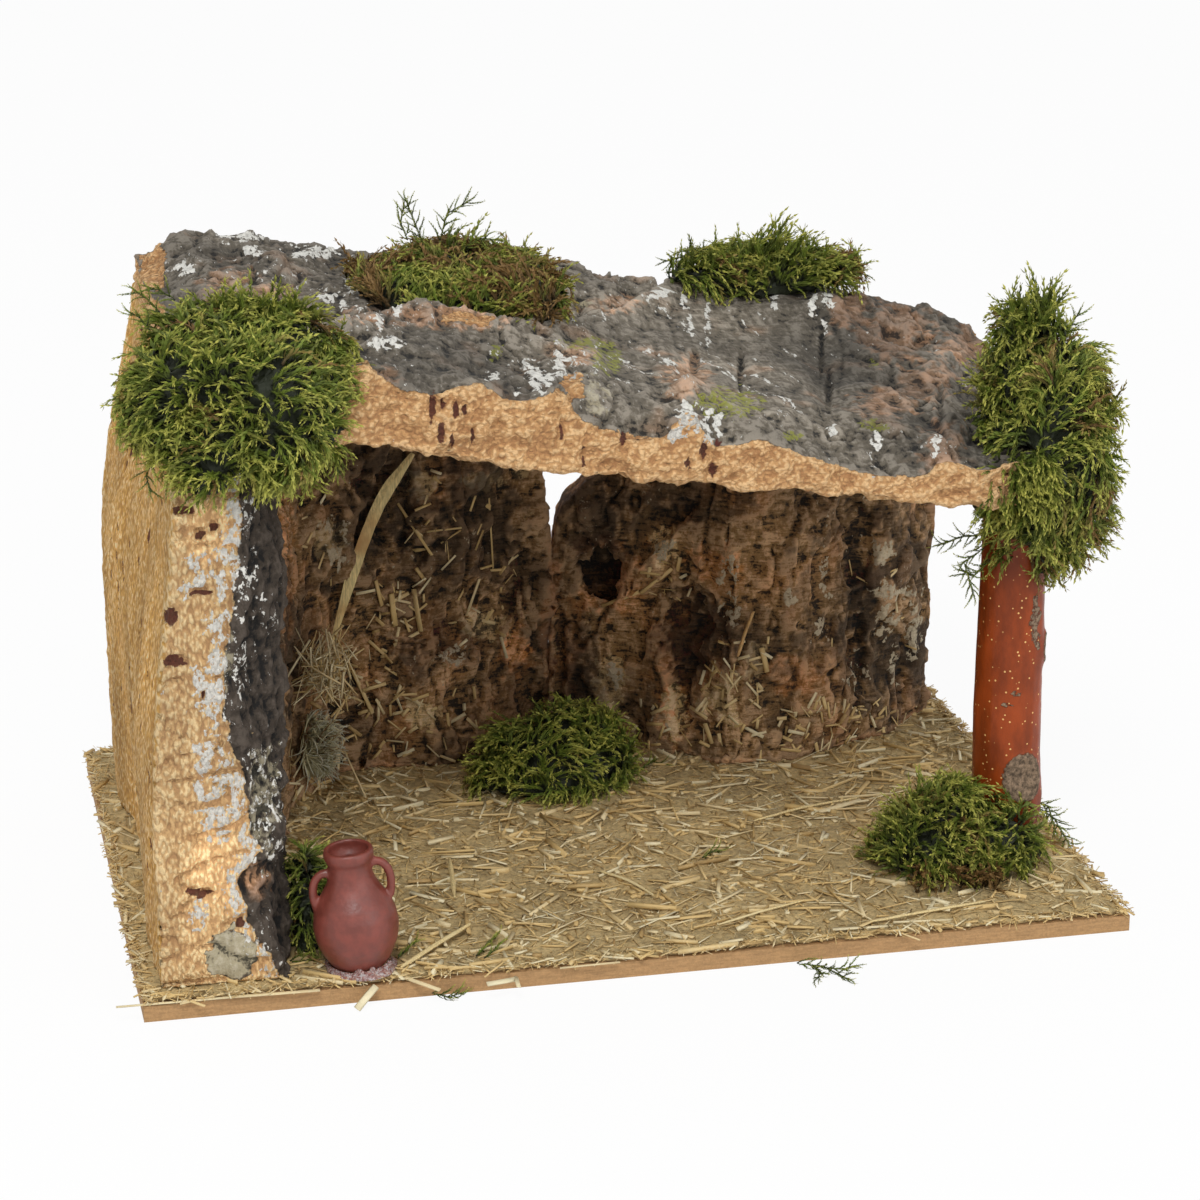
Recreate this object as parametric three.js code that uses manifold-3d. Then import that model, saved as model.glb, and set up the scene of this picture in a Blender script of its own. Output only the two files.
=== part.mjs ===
// Cork nativity stable on a fibreboard base: two thick bark slabs as a roof, a bark wall on the
// left, two bark walls at the back, a round post on the right, a small jug, moss and straw.
// Millimetres, +Z up, front of the stable towards -Y.
// Positions are written from the board's front edge (y = 0) while drawing; the last step moves
// the whole drawing so that the origin is the middle of the board's underside.
import * as THREE from 'three';
import { mergeVertices } from 'three/addons/utils/BufferGeometryUtils.js';
import Module from 'manifold-3d';

const wasm = await Module();
wasm.setup();

// Board and ground
const BOARD_W = 300;            // across
const BOARD_D = 205;            // front to back
const BOARD_T = 5;              // thickness
const CLEAR = 0.3;              // glue line between two pieces that touch
const COVER_T = 1.9;            // thickness of the straw layer
const COVER_INSET = 1.5;        // bare rim of the board
const COVER_DIP = 1.0;          // depth of its hollows
const COVER_LUMP = 8;           // half the distance between its lumps
const COVER_TOP = BOARD_T + CLEAR + COVER_T;
const SEAT_ROOM = 0.7;          // room left where moss is fitted round a piece
const FOOT = COVER_TOP + CLEAR; // height at which walls, post and jug stand

// Underside of the roof: a plane that falls to the right and sags a little along the front
const UNDER_MID = 151.5;        // height above the board's middle
const UNDER_FALL = 0.18;        // fall per mm to the right
const SAG = 2.8;
const SAG_FROM = -92;
const SAG_TO = 118;

// Roof slabs
const GRID = 4.7;               // step of the roof grids across; divides the front slab evenly
const ROOF_LEFT = -128;
const ROOF_RIGHT = 154;
const ROOF_BACK = 197;
const FRONT_EDGE = 3;           // front edge of the roof at its left end
const FRONT_SKEW = 0.08;        // how much it runs back per mm to the right
const SEAM_GAP = 0.45;          // between the front and the rear slab
const REAR_SLAB_END = 46;       // right tip of the rear slab
const RIGHT_END_SKEW = 26;      // how much further left the roof's right end is at the front
const BARK_DEPTH = 2.8;         // relief of the bark on the roof
const BARK_SLANT = 0.15;        // how much its furrows run to the right per mm to the rear

// Walls
const LEFT_WALL_FRONT = 5;
const LEFT_WALL_BACK = 191;
const LEFT_WALL_FACE = -145;    // outer face at the front corner
const LEFT_WALL_HOLLOW = 6;     // how far its middle curves inwards
const WALL_THICK = 15;          // back walls
const BACK_RELIEF = 3.4;
const KNOT_HOLE = { x: 25, z: 67, radius: 8, depth: 8.5 };

// Post
const POST_R = 10.7;
const POST_FOOT = [127.8, 53];
const POST_TOP = [127.6, 53];

// Jug
const JUG_AT = [-85.6, 9.4];
const JUG_TILT = 4.5;           // degrees, to the left
const JUG_H = 36.8;
const JUG_FOOT_R = 8.3;
const JUG_BELLY_R = 12.6;
const JUG_NECK_R = 6.1;
const JUG_RIM_R = 7.4;
const JUG_WALL = 1.5;
const HANDLE_R = 1.45;

const materials = {
  board: new THREE.MeshStandardMaterial({ color: 0xb08458, roughness: 0.85, metalness: 0 }),
  cover: new THREE.MeshStandardMaterial({ color: 0xa08a58, roughness: 0.95, metalness: 0 }),
  cork: new THREE.MeshStandardMaterial({ color: 0xc8975c, roughness: 0.9, metalness: 0 }),
  bark: new THREE.MeshStandardMaterial({ color: 0x6a5c4c, roughness: 0.95, metalness: 0 }),
  stem: new THREE.MeshStandardMaterial({ color: 0x9c4a28, roughness: 0.6, metalness: 0 }),
  clay: new THREE.MeshStandardMaterial({ color: 0x8a4844, roughness: 0.45, metalness: 0 }),
  glue: new THREE.MeshStandardMaterial({ color: 0xd8cfc2, roughness: 0.3, metalness: 0 }),
  moss: new THREE.MeshStandardMaterial({ color: 0x5c7a2c, roughness: 0.95, metalness: 0 }),
  lichen: new THREE.MeshStandardMaterial({ color: 0x8f927c, roughness: 0.95, metalness: 0 }),
  straw: new THREE.MeshStandardMaterial({ color: 0xc2a468, roughness: 0.75, metalness: 0 }),
};

const group = new THREE.Group();

function addMesh(name, geometry, materialName) {
  const mesh = new THREE.Mesh(geometry, materials[materialName].clone());
  mesh.name = name;
  group.add(mesh);
}

// Small number helpers

const mix = (a, b, t) => a + (b - a) * t;
const clamp01 = (t) => Math.min(1, Math.max(0, t));
const smooth = (t) => { const c = clamp01(t); return c * c * (3 - 2 * c); };
const hill = (d, width) => Math.exp(-(d * d) / (width * width));

// Straight lines between [at, value] pairs
function through(pairs, at) {
  if (at <= pairs[0][0]) return pairs[0][1];
  for (let i = 1; i < pairs.length; i += 1) {
    const [a, va] = pairs[i - 1];
    const [b, vb] = pairs[i];
    if (at <= b) return mix(va, vb, (at - a) / (b - a));
  }
  return pairs[pairs.length - 1][1];
}

function hash(i, j, k) {
  let h = Math.imul(i, 374761393) ^ Math.imul(j, 668265263) ^ Math.imul(k, 1442695041);
  h = Math.imul(h ^ (h >>> 13), 1274126177);
  return ((h ^ (h >>> 16)) >>> 0) / 2147483648 - 1;
}

// Smooth noise between -1 and 1
function noise(x, y, z) {
  const [i, j, k] = [x, y, z].map(Math.floor);
  const [u, v, w] = [smooth(x - i), smooth(y - j), smooth(z - k)];
  const edge = (dj, dk) => mix(hash(i, j + dj, k + dk), hash(i + 1, j + dj, k + dk), u);
  return mix(mix(edge(0, 0), edge(1, 0), v), mix(edge(0, 1), edge(1, 1), v), w);
}

// Bark relief, 0 in the furrows to about 1 on the crests; the furrows run along the second axis
function bark(across, along, seed) {
  const bend = 1.6 * noise(across / 30, along / 45, seed);
  const coarse = Math.min(1, 2.4 * Math.abs(noise(across / 13 + bend, along / 60, seed + 3.5)));
  const fine = Math.abs(noise(across / 6, along / 16, seed + 7.5));
  return 0.7 * coarse + 0.45 * fine;
}

// A ridge or a furrow along the line from (x1, z1) to (x2, z2), 1 on the line
function ridge(x, z, [x1, z1, x2, z2], width) {
  const [dx, dz] = [x2 - x1, z2 - z1];
  const t = clamp01(((x - x1) * dx + (z - z1) * dz) / (dx * dx + dz * dz));
  return hill(Math.hypot(x - x1 - t * dx, z - z1 - t * dz), width);
}

// Solids from grids of points

// Closes a face grid and a backing grid, both [column][row] of [x, y, z], with a rim of
// `rimRows` extra rows of points between them, pushed by rimShape(point, t).
// The backing is ruled: only its border is used and each column is one straight strip.
function slabGeometry(face, back, { rimRows = 1, rimShape = (p) => p, fullBack = false } = {}) {
  const nu = face.length - 1;
  const nv = face[0].length - 1;
  const points = [];
  const faces = [];
  const put = (p) => { points.push(p[0], p[1], p[2]); return points.length / 3 - 1; };
  const quad = (a, b, c, d) => faces.push(a, b, c, a, c, d);

  const f = face.map((column) => column.map(put));
  for (let i = 0; i < nu; i += 1) {
    for (let j = 0; j < nv; j += 1) quad(f[i][j], f[i + 1][j], f[i + 1][j + 1], f[i][j + 1]);
  }
  const onBorder = (i, j) => i === 0 || j === 0 || i === nu || j === nv;
  const b = back.map((column, i) => column.map((p, j) => (
    fullBack || onBorder(i, j) ? put(p) : -1)));
  if (fullBack) {
    for (let i = 0; i < nu; i += 1) {
      for (let j = 0; j < nv; j += 1) quad(b[i][j + 1], b[i + 1][j + 1], b[i + 1][j], b[i][j]);
    }
  } else {
    for (let i = 1; i < nu - 1; i += 1) quad(b[i][nv], b[i + 1][nv], b[i + 1][0], b[i][0]);
    for (let j = 0; j < nv; j += 1) {
      faces.push(b[1][0], b[0][j], b[0][j + 1]);
      faces.push(b[nu - 1][nv], b[nu][j + 1], b[nu][j]);
    }
    faces.push(b[1][0], b[0][nv], b[1][nv]);
    faces.push(b[nu - 1][nv], b[nu][0], b[nu - 1][0]);
  }

  const border = [];
  for (let i = 0; i < nu; i += 1) border.push([i, 0]);
  for (let j = 0; j < nv; j += 1) border.push([nu, j]);
  for (let i = nu; i > 0; i -= 1) border.push([i, nv]);
  for (let j = nv; j > 0; j -= 1) border.push([0, j]);
  const rows = [border.map(([i, j]) => f[i][j])];
  for (let r = 1; r <= rimRows; r += 1) {
    const t = r / (rimRows + 1);
    rows.push(border.map(([i, j]) => {
      const p = face[i][j].map((value, axis) => mix(value, back[i][j][axis], t));
      return put(rimShape(p, t, i, j));
    }));
  }
  rows.push(border.map(([i, j]) => b[i][j]));
  for (let r = 0; r < rows.length - 1; r += 1) {
    for (let k = 0; k < border.length; k += 1) {
      const n = (k + 1) % border.length;
      quad(rows[r][n], rows[r][k], rows[r + 1][k], rows[r + 1][n]);
    }
  }
  return outward(points, faces);
}

// Geometry from points and triangles, turned inside out if its volume comes out negative
function outward(points, faces) {
  const at = (k) => new THREE.Vector3(points[3 * k], points[3 * k + 1], points[3 * k + 2]);
  let volume = 0;
  for (let k = 0; k < faces.length; k += 3) {
    volume += at(faces[k]).dot(at(faces[k + 1]).cross(at(faces[k + 2])));
  }
  if (volume < 0) {
    for (let k = 0; k < faces.length; k += 3) [faces[k], faces[k + 1]] = [faces[k + 1], faces[k]];
  }
  const geometry = new THREE.BufferGeometry();
  geometry.setAttribute('position', new THREE.Float32BufferAttribute(points, 3));
  geometry.setIndex(faces);
  geometry.computeVertexNormals();
  return geometry;
}

// Grid of points: columns i = 0..nu, rows j = 0..nv
function grid(nu, nv, pointAt) {
  return Array.from({ length: nu + 1 }, (_, i) => (
    Array.from({ length: nv + 1 }, (__, j) => pointAt(i / nu, j / nv, i, j))));
}

// Joins and cuts

function toSolid(geometry) {
  const plain = geometry.clone();
  for (const name of ['normal', 'uv']) plain.deleteAttribute(name);
  const welded = mergeVertices(plain, 1e-4);
  return new wasm.Manifold(new wasm.Mesh({
    numProp: 3,
    vertProperties: new Float32Array(welded.attributes.position.array),
    triVerts: new Uint32Array(welded.index.array),
  }));
}

function toGeometry(solid) {
  const mesh = solid.getMesh();
  const geometry = new THREE.BufferGeometry();
  geometry.setAttribute('position', new THREE.BufferAttribute(mesh.vertProperties, 3));
  geometry.setIndex(new THREE.BufferAttribute(mesh.triVerts, 1));
  geometry.computeVertexNormals();
  return geometry;
}

// The room a piece takes up with its glue line: its skin moved out, joined to copies of it moved
// to the front, to the rear and down, which cover its sharp edges
function seat(geometry) {
  const plain = geometry.clone();
  for (const name of ['normal', 'uv']) plain.deleteAttribute(name);
  const swollen = mergeVertices(plain, 1e-4);
  swollen.computeVertexNormals();
  const { position, normal } = swollen.attributes;
  for (let k = 0; k < position.count; k += 1) {
    position.setXYZ(
      k,
      position.getX(k) + SEAT_ROOM * normal.getX(k),
      position.getY(k) + SEAT_ROOM * normal.getY(k),
      position.getZ(k) + SEAT_ROOM * normal.getZ(k),
    );
  }
  const solid = toSolid(geometry);
  return [[0, CLEAR, 0], [0, -CLEAR, 0], [0, 0, -CLEAR]]
    .reduce((room, shift) => room.add(solid.translate(shift)), toSolid(swollen));
}

function biggestPiece(solid) {
  const pieces = solid.decompose();
  return pieces.reduce((best, piece) => (piece.volume() > best.volume() ? piece : best));
}

// Roof

const sag = (x) => SAG * Math.sin(Math.PI * clamp01((x - SAG_FROM) / (SAG_TO - SAG_FROM)));

// Height of the roof's underside
function under(x, y) {
  return UNDER_MID - UNDER_FALL * x - sag(x) * (1 - clamp01(y / ROOF_BACK));
}

const frontEdge = (x) => FRONT_EDGE + FRONT_SKEW * (x - ROOF_LEFT) + 0.7 * noise(x / 9, 1, 1);

// Plan line where the front slab ends and the rear slab begins
const SEAM = [[-130, 52], [-105, 50], [-85, 46], [-70, 66], [-58, 84], [-46, 92], [-30, 84],
  [-12, 98], [0, 116], [15, 128], [30, 154], [40, 168], [45, 178], [55, 197]];
const seam = (x) => Math.min(through(SEAM, x), ROOF_BACK);

const backEdge = (x) => ROOF_BACK + 1.6 * noise(x / 14, 3, 2) - 8 * smooth((x - 100) / 36)
  - 22 * smooth((-102 - x) / 30);

// Height of the bare cork at the front edge, above the underside
const CORK_EDGE = [[-130, 19], [-88, 21], [-80, 25], [-73, 19], [-64, 17], [-48, 23.5], [-38, 18],
  [-25, 24.5], [-18, 15], [-7, 11.5], [3, 11], [13, 22], [24, 10.5], [35, 15.5], [47, 12.5],
  [60, 9.5], [67, 7.5], [80, 7], [90, 8], [93, 13], [99, 10], [108, 11], [116, 14.5], [130, 12]];

// Thickness of the roof slabs without the bark relief
function roofBody(x, y) {
  const body = mix(21.5, 15.5, smooth((x + 40) / 130));
  const rise = 6.5 * smooth((x + 30) / 50) * smooth((y - 110) / 80)
    + 3.5 * smooth((x - 60) / 60) * smooth((y - 80) / 90);
  const rounded = 8.5 * smooth((-110 - x) / 19) + 5 * smooth((x - 138) / 12);
  return body + rise - rounded;
}

// How far the front slab's top takes to fall to its cork edge; far where the bark ends in a lip
const edgeFall = (x) => mix(13, 34, smooth((x - 46) / 14) * (1 - smooth((x - 82) / 12)));

// Ridges and furrows of the front slab: the line's ends in plan, its width and its height
const ROOF_RIDGES = [
  { line: [127, 132, 106, 56], width: 6, height: 4 },      // branch scar at the right
  { line: [106, 56, 94, 22], width: 5.5, height: 3.4 },
  { line: [124, 96, 109, 22], width: 9, height: -3 },      // smooth hollow beside it
  { line: [92, 155, 71, 64], width: 5, height: -2.4 },     // long furrow
  { line: [55, 121, 46, 64], width: 4.5, height: -2 },
  { line: [46, 62, 70, 59], width: 5, height: 1.8 },       // lip above the front edge
  { line: [70, 59, 74, 44], width: 5, height: 1.8 },
  { line: [-3, 82, -11, 26], width: 5, height: 2.2 },      // left border of the smooth bark
  { line: [-30, 60, -48, 30], width: 6, height: -2 },
  { line: [-84, 44, -60, 40], width: 7, height: 2 },
];

function frontRoofThickness(x, y) {
  const d = y - frontEdge(x);
  const ridges = ROOF_RIDGES.reduce(
    (sum, { line, width, height }) => sum + height * ridge(x, y, line, width), 0);
  const full = roofBody(x, y) + ridges
    + 5.5 * smooth(1 - (seam(x) - y) / 30) * hill(x + 52, 45)      // raised back edge
    + 2.5 * smooth(1 - (seam(x) - y) / 20) * hill(x - 25, 30)
    + 8 * hill(x - 23, 6) * hill(y - 50, 8)                         // broken knob
    + 4 * hill(x - 112, 14) * hill(y - 120, 16)                     // lumps at the right
    - 8 * hill(x - 121, 8) * hill(y - 146, 9)                       // hollow behind them
    + 4 * hill(x - 95, 16) * hill(y - 168, 18);
  const relief = BARK_DEPTH * (bark(x - BARK_SLANT * y, y, 11) - 0.5) * smooth(d / 6);
  return mix(through(CORK_EDGE, x), full + relief, smooth(d / edgeFall(x)));
}

function rearRoofThickness(x, y) {
  const lumps = 3 * hill(x + 112, 9) * hill(y - 176, 12) + 3 * hill(x + 86, 12) * hill(y - 150, 18)
    - 3 * hill(x + 104, 6) * hill(y - 150, 12);
  return roofBody(x, y) - 3.2 + lumps
    + BARK_DEPTH * 1.2 * (bark(x - BARK_SLANT * y, y, 23) - 0.5);
}

function roofGeometry(from, to, nv, frontOf, backOf, thickness, endOf, ragged) {
  const nu = Math.round((to - from) / GRID);
  const plan = (s, t, i) => {
    const x0 = from + i * GRID;
    const skew = RIGHT_END_SKEW * clamp01((x0 - 60) / 90) ** 1.2 * (1 - smooth(t * 1.6));
    const y = mix(frontOf(x0 - skew), backOf(x0), t);
    const end = i === 0 || i === nu ? endOf(i === 0 ? -1 : 1, t) : 0;
    return [x0 - skew + end, y];
  };
  const face = grid(nu, nv, (s, t, i) => {
    const [x, y] = plan(s, t, i);
    return [x, y, under(x, y) + thickness(x, y)];
  });
  const back = grid(nu, nv, (s, t, i) => {
    const [x, y] = plan(s, t, i);
    return [x, y, under(x, y)];
  });
  const rimShape = (p, t, i, j) => {
    const rough = 0.5 * noise(p[0] / 4, p[1] / 4, p[2] / 4);
    return [p[0] + (i === 0 || i === nu ? rough : 0), p[1] - (ragged && j === 0 ? 0.4 + rough : 0), p[2]];
  };
  return slabGeometry(face, back, { rimRows: 1, rimShape });
}

const frontRoof = roofGeometry(
  ROOF_LEFT, ROOF_RIGHT, 21, frontEdge, (x) => Math.min(seam(x), backEdge(x)),
  frontRoofThickness, (side, t) => (side < 0 ? 0 : 1.6 * noise(t * 6, 4, 4)), true,
);

const seamSlope = (x) => (seam(x + GRID) - seam(x - GRID)) / (2 * GRID);
const rearRoof = roofGeometry(
  ROOF_LEFT, REAR_SLAB_END, 12, (x) => seam(x) + SEAM_GAP * Math.hypot(1, seamSlope(x)),
  backEdge,
  rearRoofThickness, (side, t) => (side < 0 ? 1.5 * noise(t * 5, 1, 8) : 0), false,
);

// Left wall: smooth belly outwards, bark inwards, sawn edge to the front

// Right edge of the sawn front face at each height
const LEFT_CUT = [[7, -106.5], [18, -111.5], [28, -116.5], [36, -119.5], [41, -118], [48, -112.9],
  [59, -115.8], [76, -119.2], [96, -121.7], [110, -120.6], [124, -116.5], [138, -114.9],
  [158, -112.6], [180, -112]];

function leftOuter(y, z) {
  const back = smooth((y - 20) / 150);
  const lean = mix(9.5 * smooth((z - 55) / 105), 15 * smooth((z - 92) / 95), back);
  const hollow = LEFT_WALL_HOLLOW * hill(y - 112, 42) + 2.5 * smooth((y - 150) / 40);
  const flutes = 0.7 * Math.cos(y / 2.6 + 0.8 * noise(y / 20, z / 40, 4))
    * smooth((y - LEFT_WALL_FRONT) / 10);
  return LEFT_WALL_FACE + lean + hollow + flutes;
}

function leftInner(y, z) {
  const d = y - LEFT_WALL_FRONT;
  const edge = through(LEFT_CUT, z);
  const rear = smooth((y - 62) / 26);
  const deep = -106 + 2 * smooth((z - 40) / 80) - 5.5 * rear - 6 * smooth((z - 120) / 50) * (1 - rear)
    + mix(2.4, 1.6, rear) * (bark(y, z, 31) - 0.4);
  return mix(edge, mix(Math.max(edge, deep), deep, rear), smooth(d / 13));
}

function leftWallPoint(s, t, sideOf) {
  const y = mix(LEFT_WALL_FRONT, LEFT_WALL_BACK, s ** 1.15);
  let z = mix(FOOT, 165, t);
  for (let k = 0; k < 4; k += 1) {
    z = mix(FOOT, under(sideOf(y, z), y) - CLEAR, t);
  }
  return [sideOf(y, z), y, z];
}

const leftWall = slabGeometry(
  grid(18, 20, (s, t) => leftWallPoint(s, t, leftInner)),
  grid(18, 20, (s, t) => leftWallPoint(s, t, leftOuter)),
  {
    fullBack: true,
    rimRows: 2,
    rimShape: (p, t, i) => (i === 0
      ? [p[0], p[1] - 0.35 + 0.6 * noise(p[0] / 5, 1, p[2] / 7), p[2]] : p),
  },
);

// Back walls: bark towards the viewer, belly to the rear

// How the joint between the two back walls wanders with height
const slitShape = (z) => noise(z / 14, 5, 5);

// A wall whose bark face follows a plan curve
function backWall({ plan, nu, seed, leftTo, rightTo, lumps, reach = () => 0 }) {
  const curve = new THREE.CatmullRomCurve3(plan.map(([x, y]) => new THREE.Vector3(x, y, 0)));
  const total = curve.getLength();
  const place = (s, t, side) => {
    const u = curve.getUtoTmapping(s);
    const p = curve.getPoint(u);
    const way = curve.getTangent(u);
    let z = mix(FOOT, 135, t);
    let x = p.x;
    let y = p.y;
    for (let k = 0; k < 4; k += 1) {
      const trim = leftTo(z) * (1 - s) ** 3 + rightTo(z) * s ** 3;
      let push = 0;
      if (side > 0) {
        push = WALL_THICK + reach(s, z);
      } else {
        const rough = 1.4 * noise((s * total) / 9, z / 7, seed);
        push = -BACK_RELIEF * (bark(s * total, z, seed) - 0.3)
          - (lumps(p.x, z) + rough) * smooth(s * 12) * smooth((1 - s) * 12);
      }
      x = p.x + trim - way.y * push;
      y = p.y + way.x * push;
      z = mix(FOOT, under(x, y) - CLEAR - 0.15, t);
    }
    return [x, y, z];
  };
  return slabGeometry(
    grid(nu, 27, (s, t) => place(s, t, -1)),
    grid(nu, 27, (s, t) => place(s, t, 1)),
    { rimRows: 1 },
  );
}

const backLeft = backWall({
  plan: [[-95, 100], [-90, 126], [-82, 149], [-64, 165], [-38, 172], [-14, 179], [2, 184], [8, 184]],
  nu: 32,
  seed: 41,
  leftTo: () => 0,
  reach: (s) => -5.5 * smooth((0.42 - s) / 0.2),
  rightTo: (z) => 1.2 * slitShape(z) - 4 * smooth((z - 64) / 60),
  lumps: (x, z) => 5 * hill(x + 20, 22) * hill(z - 12, 14) + 3 * hill(x + 56, 9) * hill(z - 30, 16)
    + 5 * hill(x + 34, 14) * smooth((51 - z) / 6)                      // shelf
    - 3 * hill(x + 36, 16) * hill(z - 63, 8)                           // recess above it
    + 3 * hill(x + 30, 12) * hill(z - 88, 18) - 3 * hill(x + 47, 9) * hill(z - 96, 13)
    + 2.5 * ridge(x, z, [2, 75, 0, 40], 5) - 3 * hill(x + 9, 6) * hill(z - 66, 26),
});

const backRight = backWall({
  plan: [[8.6, 184], [14, 183], [30, 174], [50, 161], [74, 148], [102, 154], [126, 163], [142, 182]],
  nu: 38,
  seed: 57,
  leftTo: (z) => 1.2 * slitShape(z) + 0.14 * Math.max(0, z - 70) + 0.9 * Math.max(0, z - 90),
  rightTo: (z) => 1.2 * noise(z / 15, 2, 3),
  lumps: (x, z) => 8.5 * hill(x - 64, 6 + 0.11 * Math.max(0, 50 - z)) * smooth((56 - z) / 16)
    + 4 * ridge(x, z, [43, 44, 43, 16], 5)                             // pale column
    - 3.5 * hill(x - 53, 5) * hill(z - 55, 15)                         // red recess
    + 3 * hill(x - 92, 12) * hill(z - 24, 18) + 3 * hill(x - 62, 10) * hill(z - 88, 20)
    - 4 * ridge(x, z, [107, 100, 109, 26], 4) - 3 * ridge(x, z, [131, 60, 134, 16], 4)
    + 4 * ridge(x, z, [27, 58, 47, 86], 4)                             // flap beside the hole
    + 2 * hill(Math.hypot(x - KNOT_HOLE.x, z - KNOT_HOLE.z) - KNOT_HOLE.radius - 3, 3)
    - KNOT_HOLE.depth * hill(Math.hypot(x - KNOT_HOLE.x, z - KNOT_HOLE.z), KNOT_HOLE.radius * 0.8),
});

// Board and straw cover

function boardGeometry() {
  return new THREE.BoxGeometry(BOARD_W, BOARD_D, BOARD_T).translate(0, BOARD_D / 2, BOARD_T / 2);
}

function coverGeometry() {
  const [w, d] = [BOARD_W / 2 - COVER_INSET, BOARD_D - 2 * COVER_INSET];
  const edge = (s, t) => {
    const ragged = 1.1 * noise(s * 23, t * 19, 6);
    const onX = s === 0 || s === 1 ? ragged : 0;
    const onY = t === 0 || t === 1 ? ragged : 0;
    return [mix(-w, w, s) + onX, COVER_INSET + d * t + onY];
  };
  const inFootprint = (x, y) => (x < -84 || y > 135 || Math.hypot(x - 133, y - 56) < 16 ? 0 : 1);
  const top = (x, y) => COVER_TOP - COVER_DIP * inFootprint(x, y)
    * smooth(0.5 - 0.9 * noise(x / COVER_LUMP, y / COVER_LUMP, 12));
  return slabGeometry(
    grid(38, 26, (s, t) => { const [x, y] = edge(s, t); return [x, y, top(x, y)]; }),
    grid(38, 26, (s, t) => { const [x, y] = edge(s, t); return [x, y, BOARD_T + CLEAR]; }),
    { rimRows: 0 },
  );
}

// Post: a length of stem, bulging at two old knots and chipped at the foot

function postGeometry() {
  const sides = 18;
  const rings = 18;
  const top = under(POST_TOP[0], POST_TOP[1]) - CLEAR;
  const points = [];
  const faces = [];
  for (let j = 0; j <= rings; j += 1) {
    const t = j / rings;
    for (let i = 0; i < sides; i += 1) {
      const a = (2 * Math.PI * i) / sides;
      const z = mix(FOOT, top, t);
      const knot = 1.6 * hill(z - 27, 7) * hill(Math.sin((a + 1.0) / 2), 0.5)
        + 1.0 * hill(z - 76, 5) * hill(Math.sin((a + 0.1) / 2), 0.35);
      const chip = smooth((24 - z) / 15) * (0.8 + 3.4 * smooth(0.5 - Math.cos(a) * 0.9));
      const r = POST_R * (1 + 0.03 * Math.cos(2 * a + 1)) - 0.5 * smooth(t) - 0.3 + knot - chip
        + 0.25 * noise(3 * Math.cos(a), 3 * Math.sin(a), z / 14);
      const bow = 0.9 * Math.sin(Math.PI * t);
      const x = mix(POST_FOOT[0], POST_TOP[0], t) - bow + r * Math.cos(a);
      const y = mix(POST_FOOT[1], POST_TOP[1], t) + r * Math.sin(a);
      points.push(x, y, j === rings ? under(x, y) - CLEAR : z);
    }
  }
  const at = (i, j) => j * sides + (i % sides);
  for (let j = 0; j < rings; j += 1) {
    for (let i = 0; i < sides; i += 1) {
      faces.push(at(i, j), at(i + 1, j), at(i + 1, j + 1), at(i, j), at(i + 1, j + 1), at(i, j + 1));
    }
  }
  for (let i = 1; i < sides - 1; i += 1) {
    faces.push(at(0, 0), at(i + 1, 0), at(i, 0));
    faces.push(at(0, rings), at(i, rings), at(i + 1, rings));
  }
  return outward(points, faces);
}

// Jug: turned body with a hollow inside and two handles

function jugProfile() {
  const outer = [[0, 0], [JUG_FOOT_R - 0.4, 0], [JUG_FOOT_R, 0.7], [JUG_FOOT_R + 0.1, 2],
    [9.4, 4], [11.2, 7.5], [12.2, 11], [JUG_BELLY_R, 14.5], [12.3, 18], [11.2, 21.5],
    [9.3, 24.5], [7.6, 27], [6.5, 29], [JUG_NECK_R, 31], [JUG_NECK_R + 0.1, 32.2],
    [JUG_RIM_R - 0.4, 33.3], [JUG_RIM_R, 34.4], [JUG_RIM_R, 35.8], [JUG_RIM_R - 0.5, JUG_H]];
  const inner = [[JUG_RIM_R - JUG_WALL, JUG_H], [5.6, 36], [JUG_NECK_R - JUG_WALL, 33.5],
    [JUG_NECK_R - JUG_WALL, 29.5], [6.4, 26.5], [9.4, 21], [JUG_BELLY_R - JUG_WALL, 15],
    [10.4, 10], [8, 5], [5, 3.2], [0, 3]];
  return [...outer, ...inner].map(([r, z]) => new THREE.Vector2(r, z));
}

function handleGeometry(side, lift) {
  const path = new THREE.CatmullRomCurve3([
    [5.4, 31.2], [7.8, 32], [10.2, 30.4], [11.4, 27], [11.3, 23.5], [10.7, 20.5],
  ].map(([r, z]) => new THREE.Vector3(side * r, 0, z + lift)));
  const ring = new THREE.Shape();
  ring.absellipse(0, 0, HANDLE_R, HANDLE_R, 0, 2 * Math.PI);
  return new THREE.ExtrudeGeometry(ring, { steps: 11, curveSegments: 4, extrudePath: path });
}

function jugGeometry() {
  const body = new THREE.LatheGeometry(jugProfile(), 22).rotateX(Math.PI / 2);
  let solid = toSolid(body).add(toSolid(handleGeometry(-1, -0.4)))
    .add(toSolid(handleGeometry(1, 1.4)));
  solid = biggestPiece(solid);
  const lift = FOOT + JUG_FOOT_R * Math.sin(THREE.MathUtils.degToRad(JUG_TILT)) + 0.2;
  return toGeometry(solid)
    .rotateZ(THREE.MathUtils.degToRad(-6))
    .rotateY(THREE.MathUtils.degToRad(-JUG_TILT))
    .translate(JUG_AT[0], JUG_AT[1], lift);
}

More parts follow.
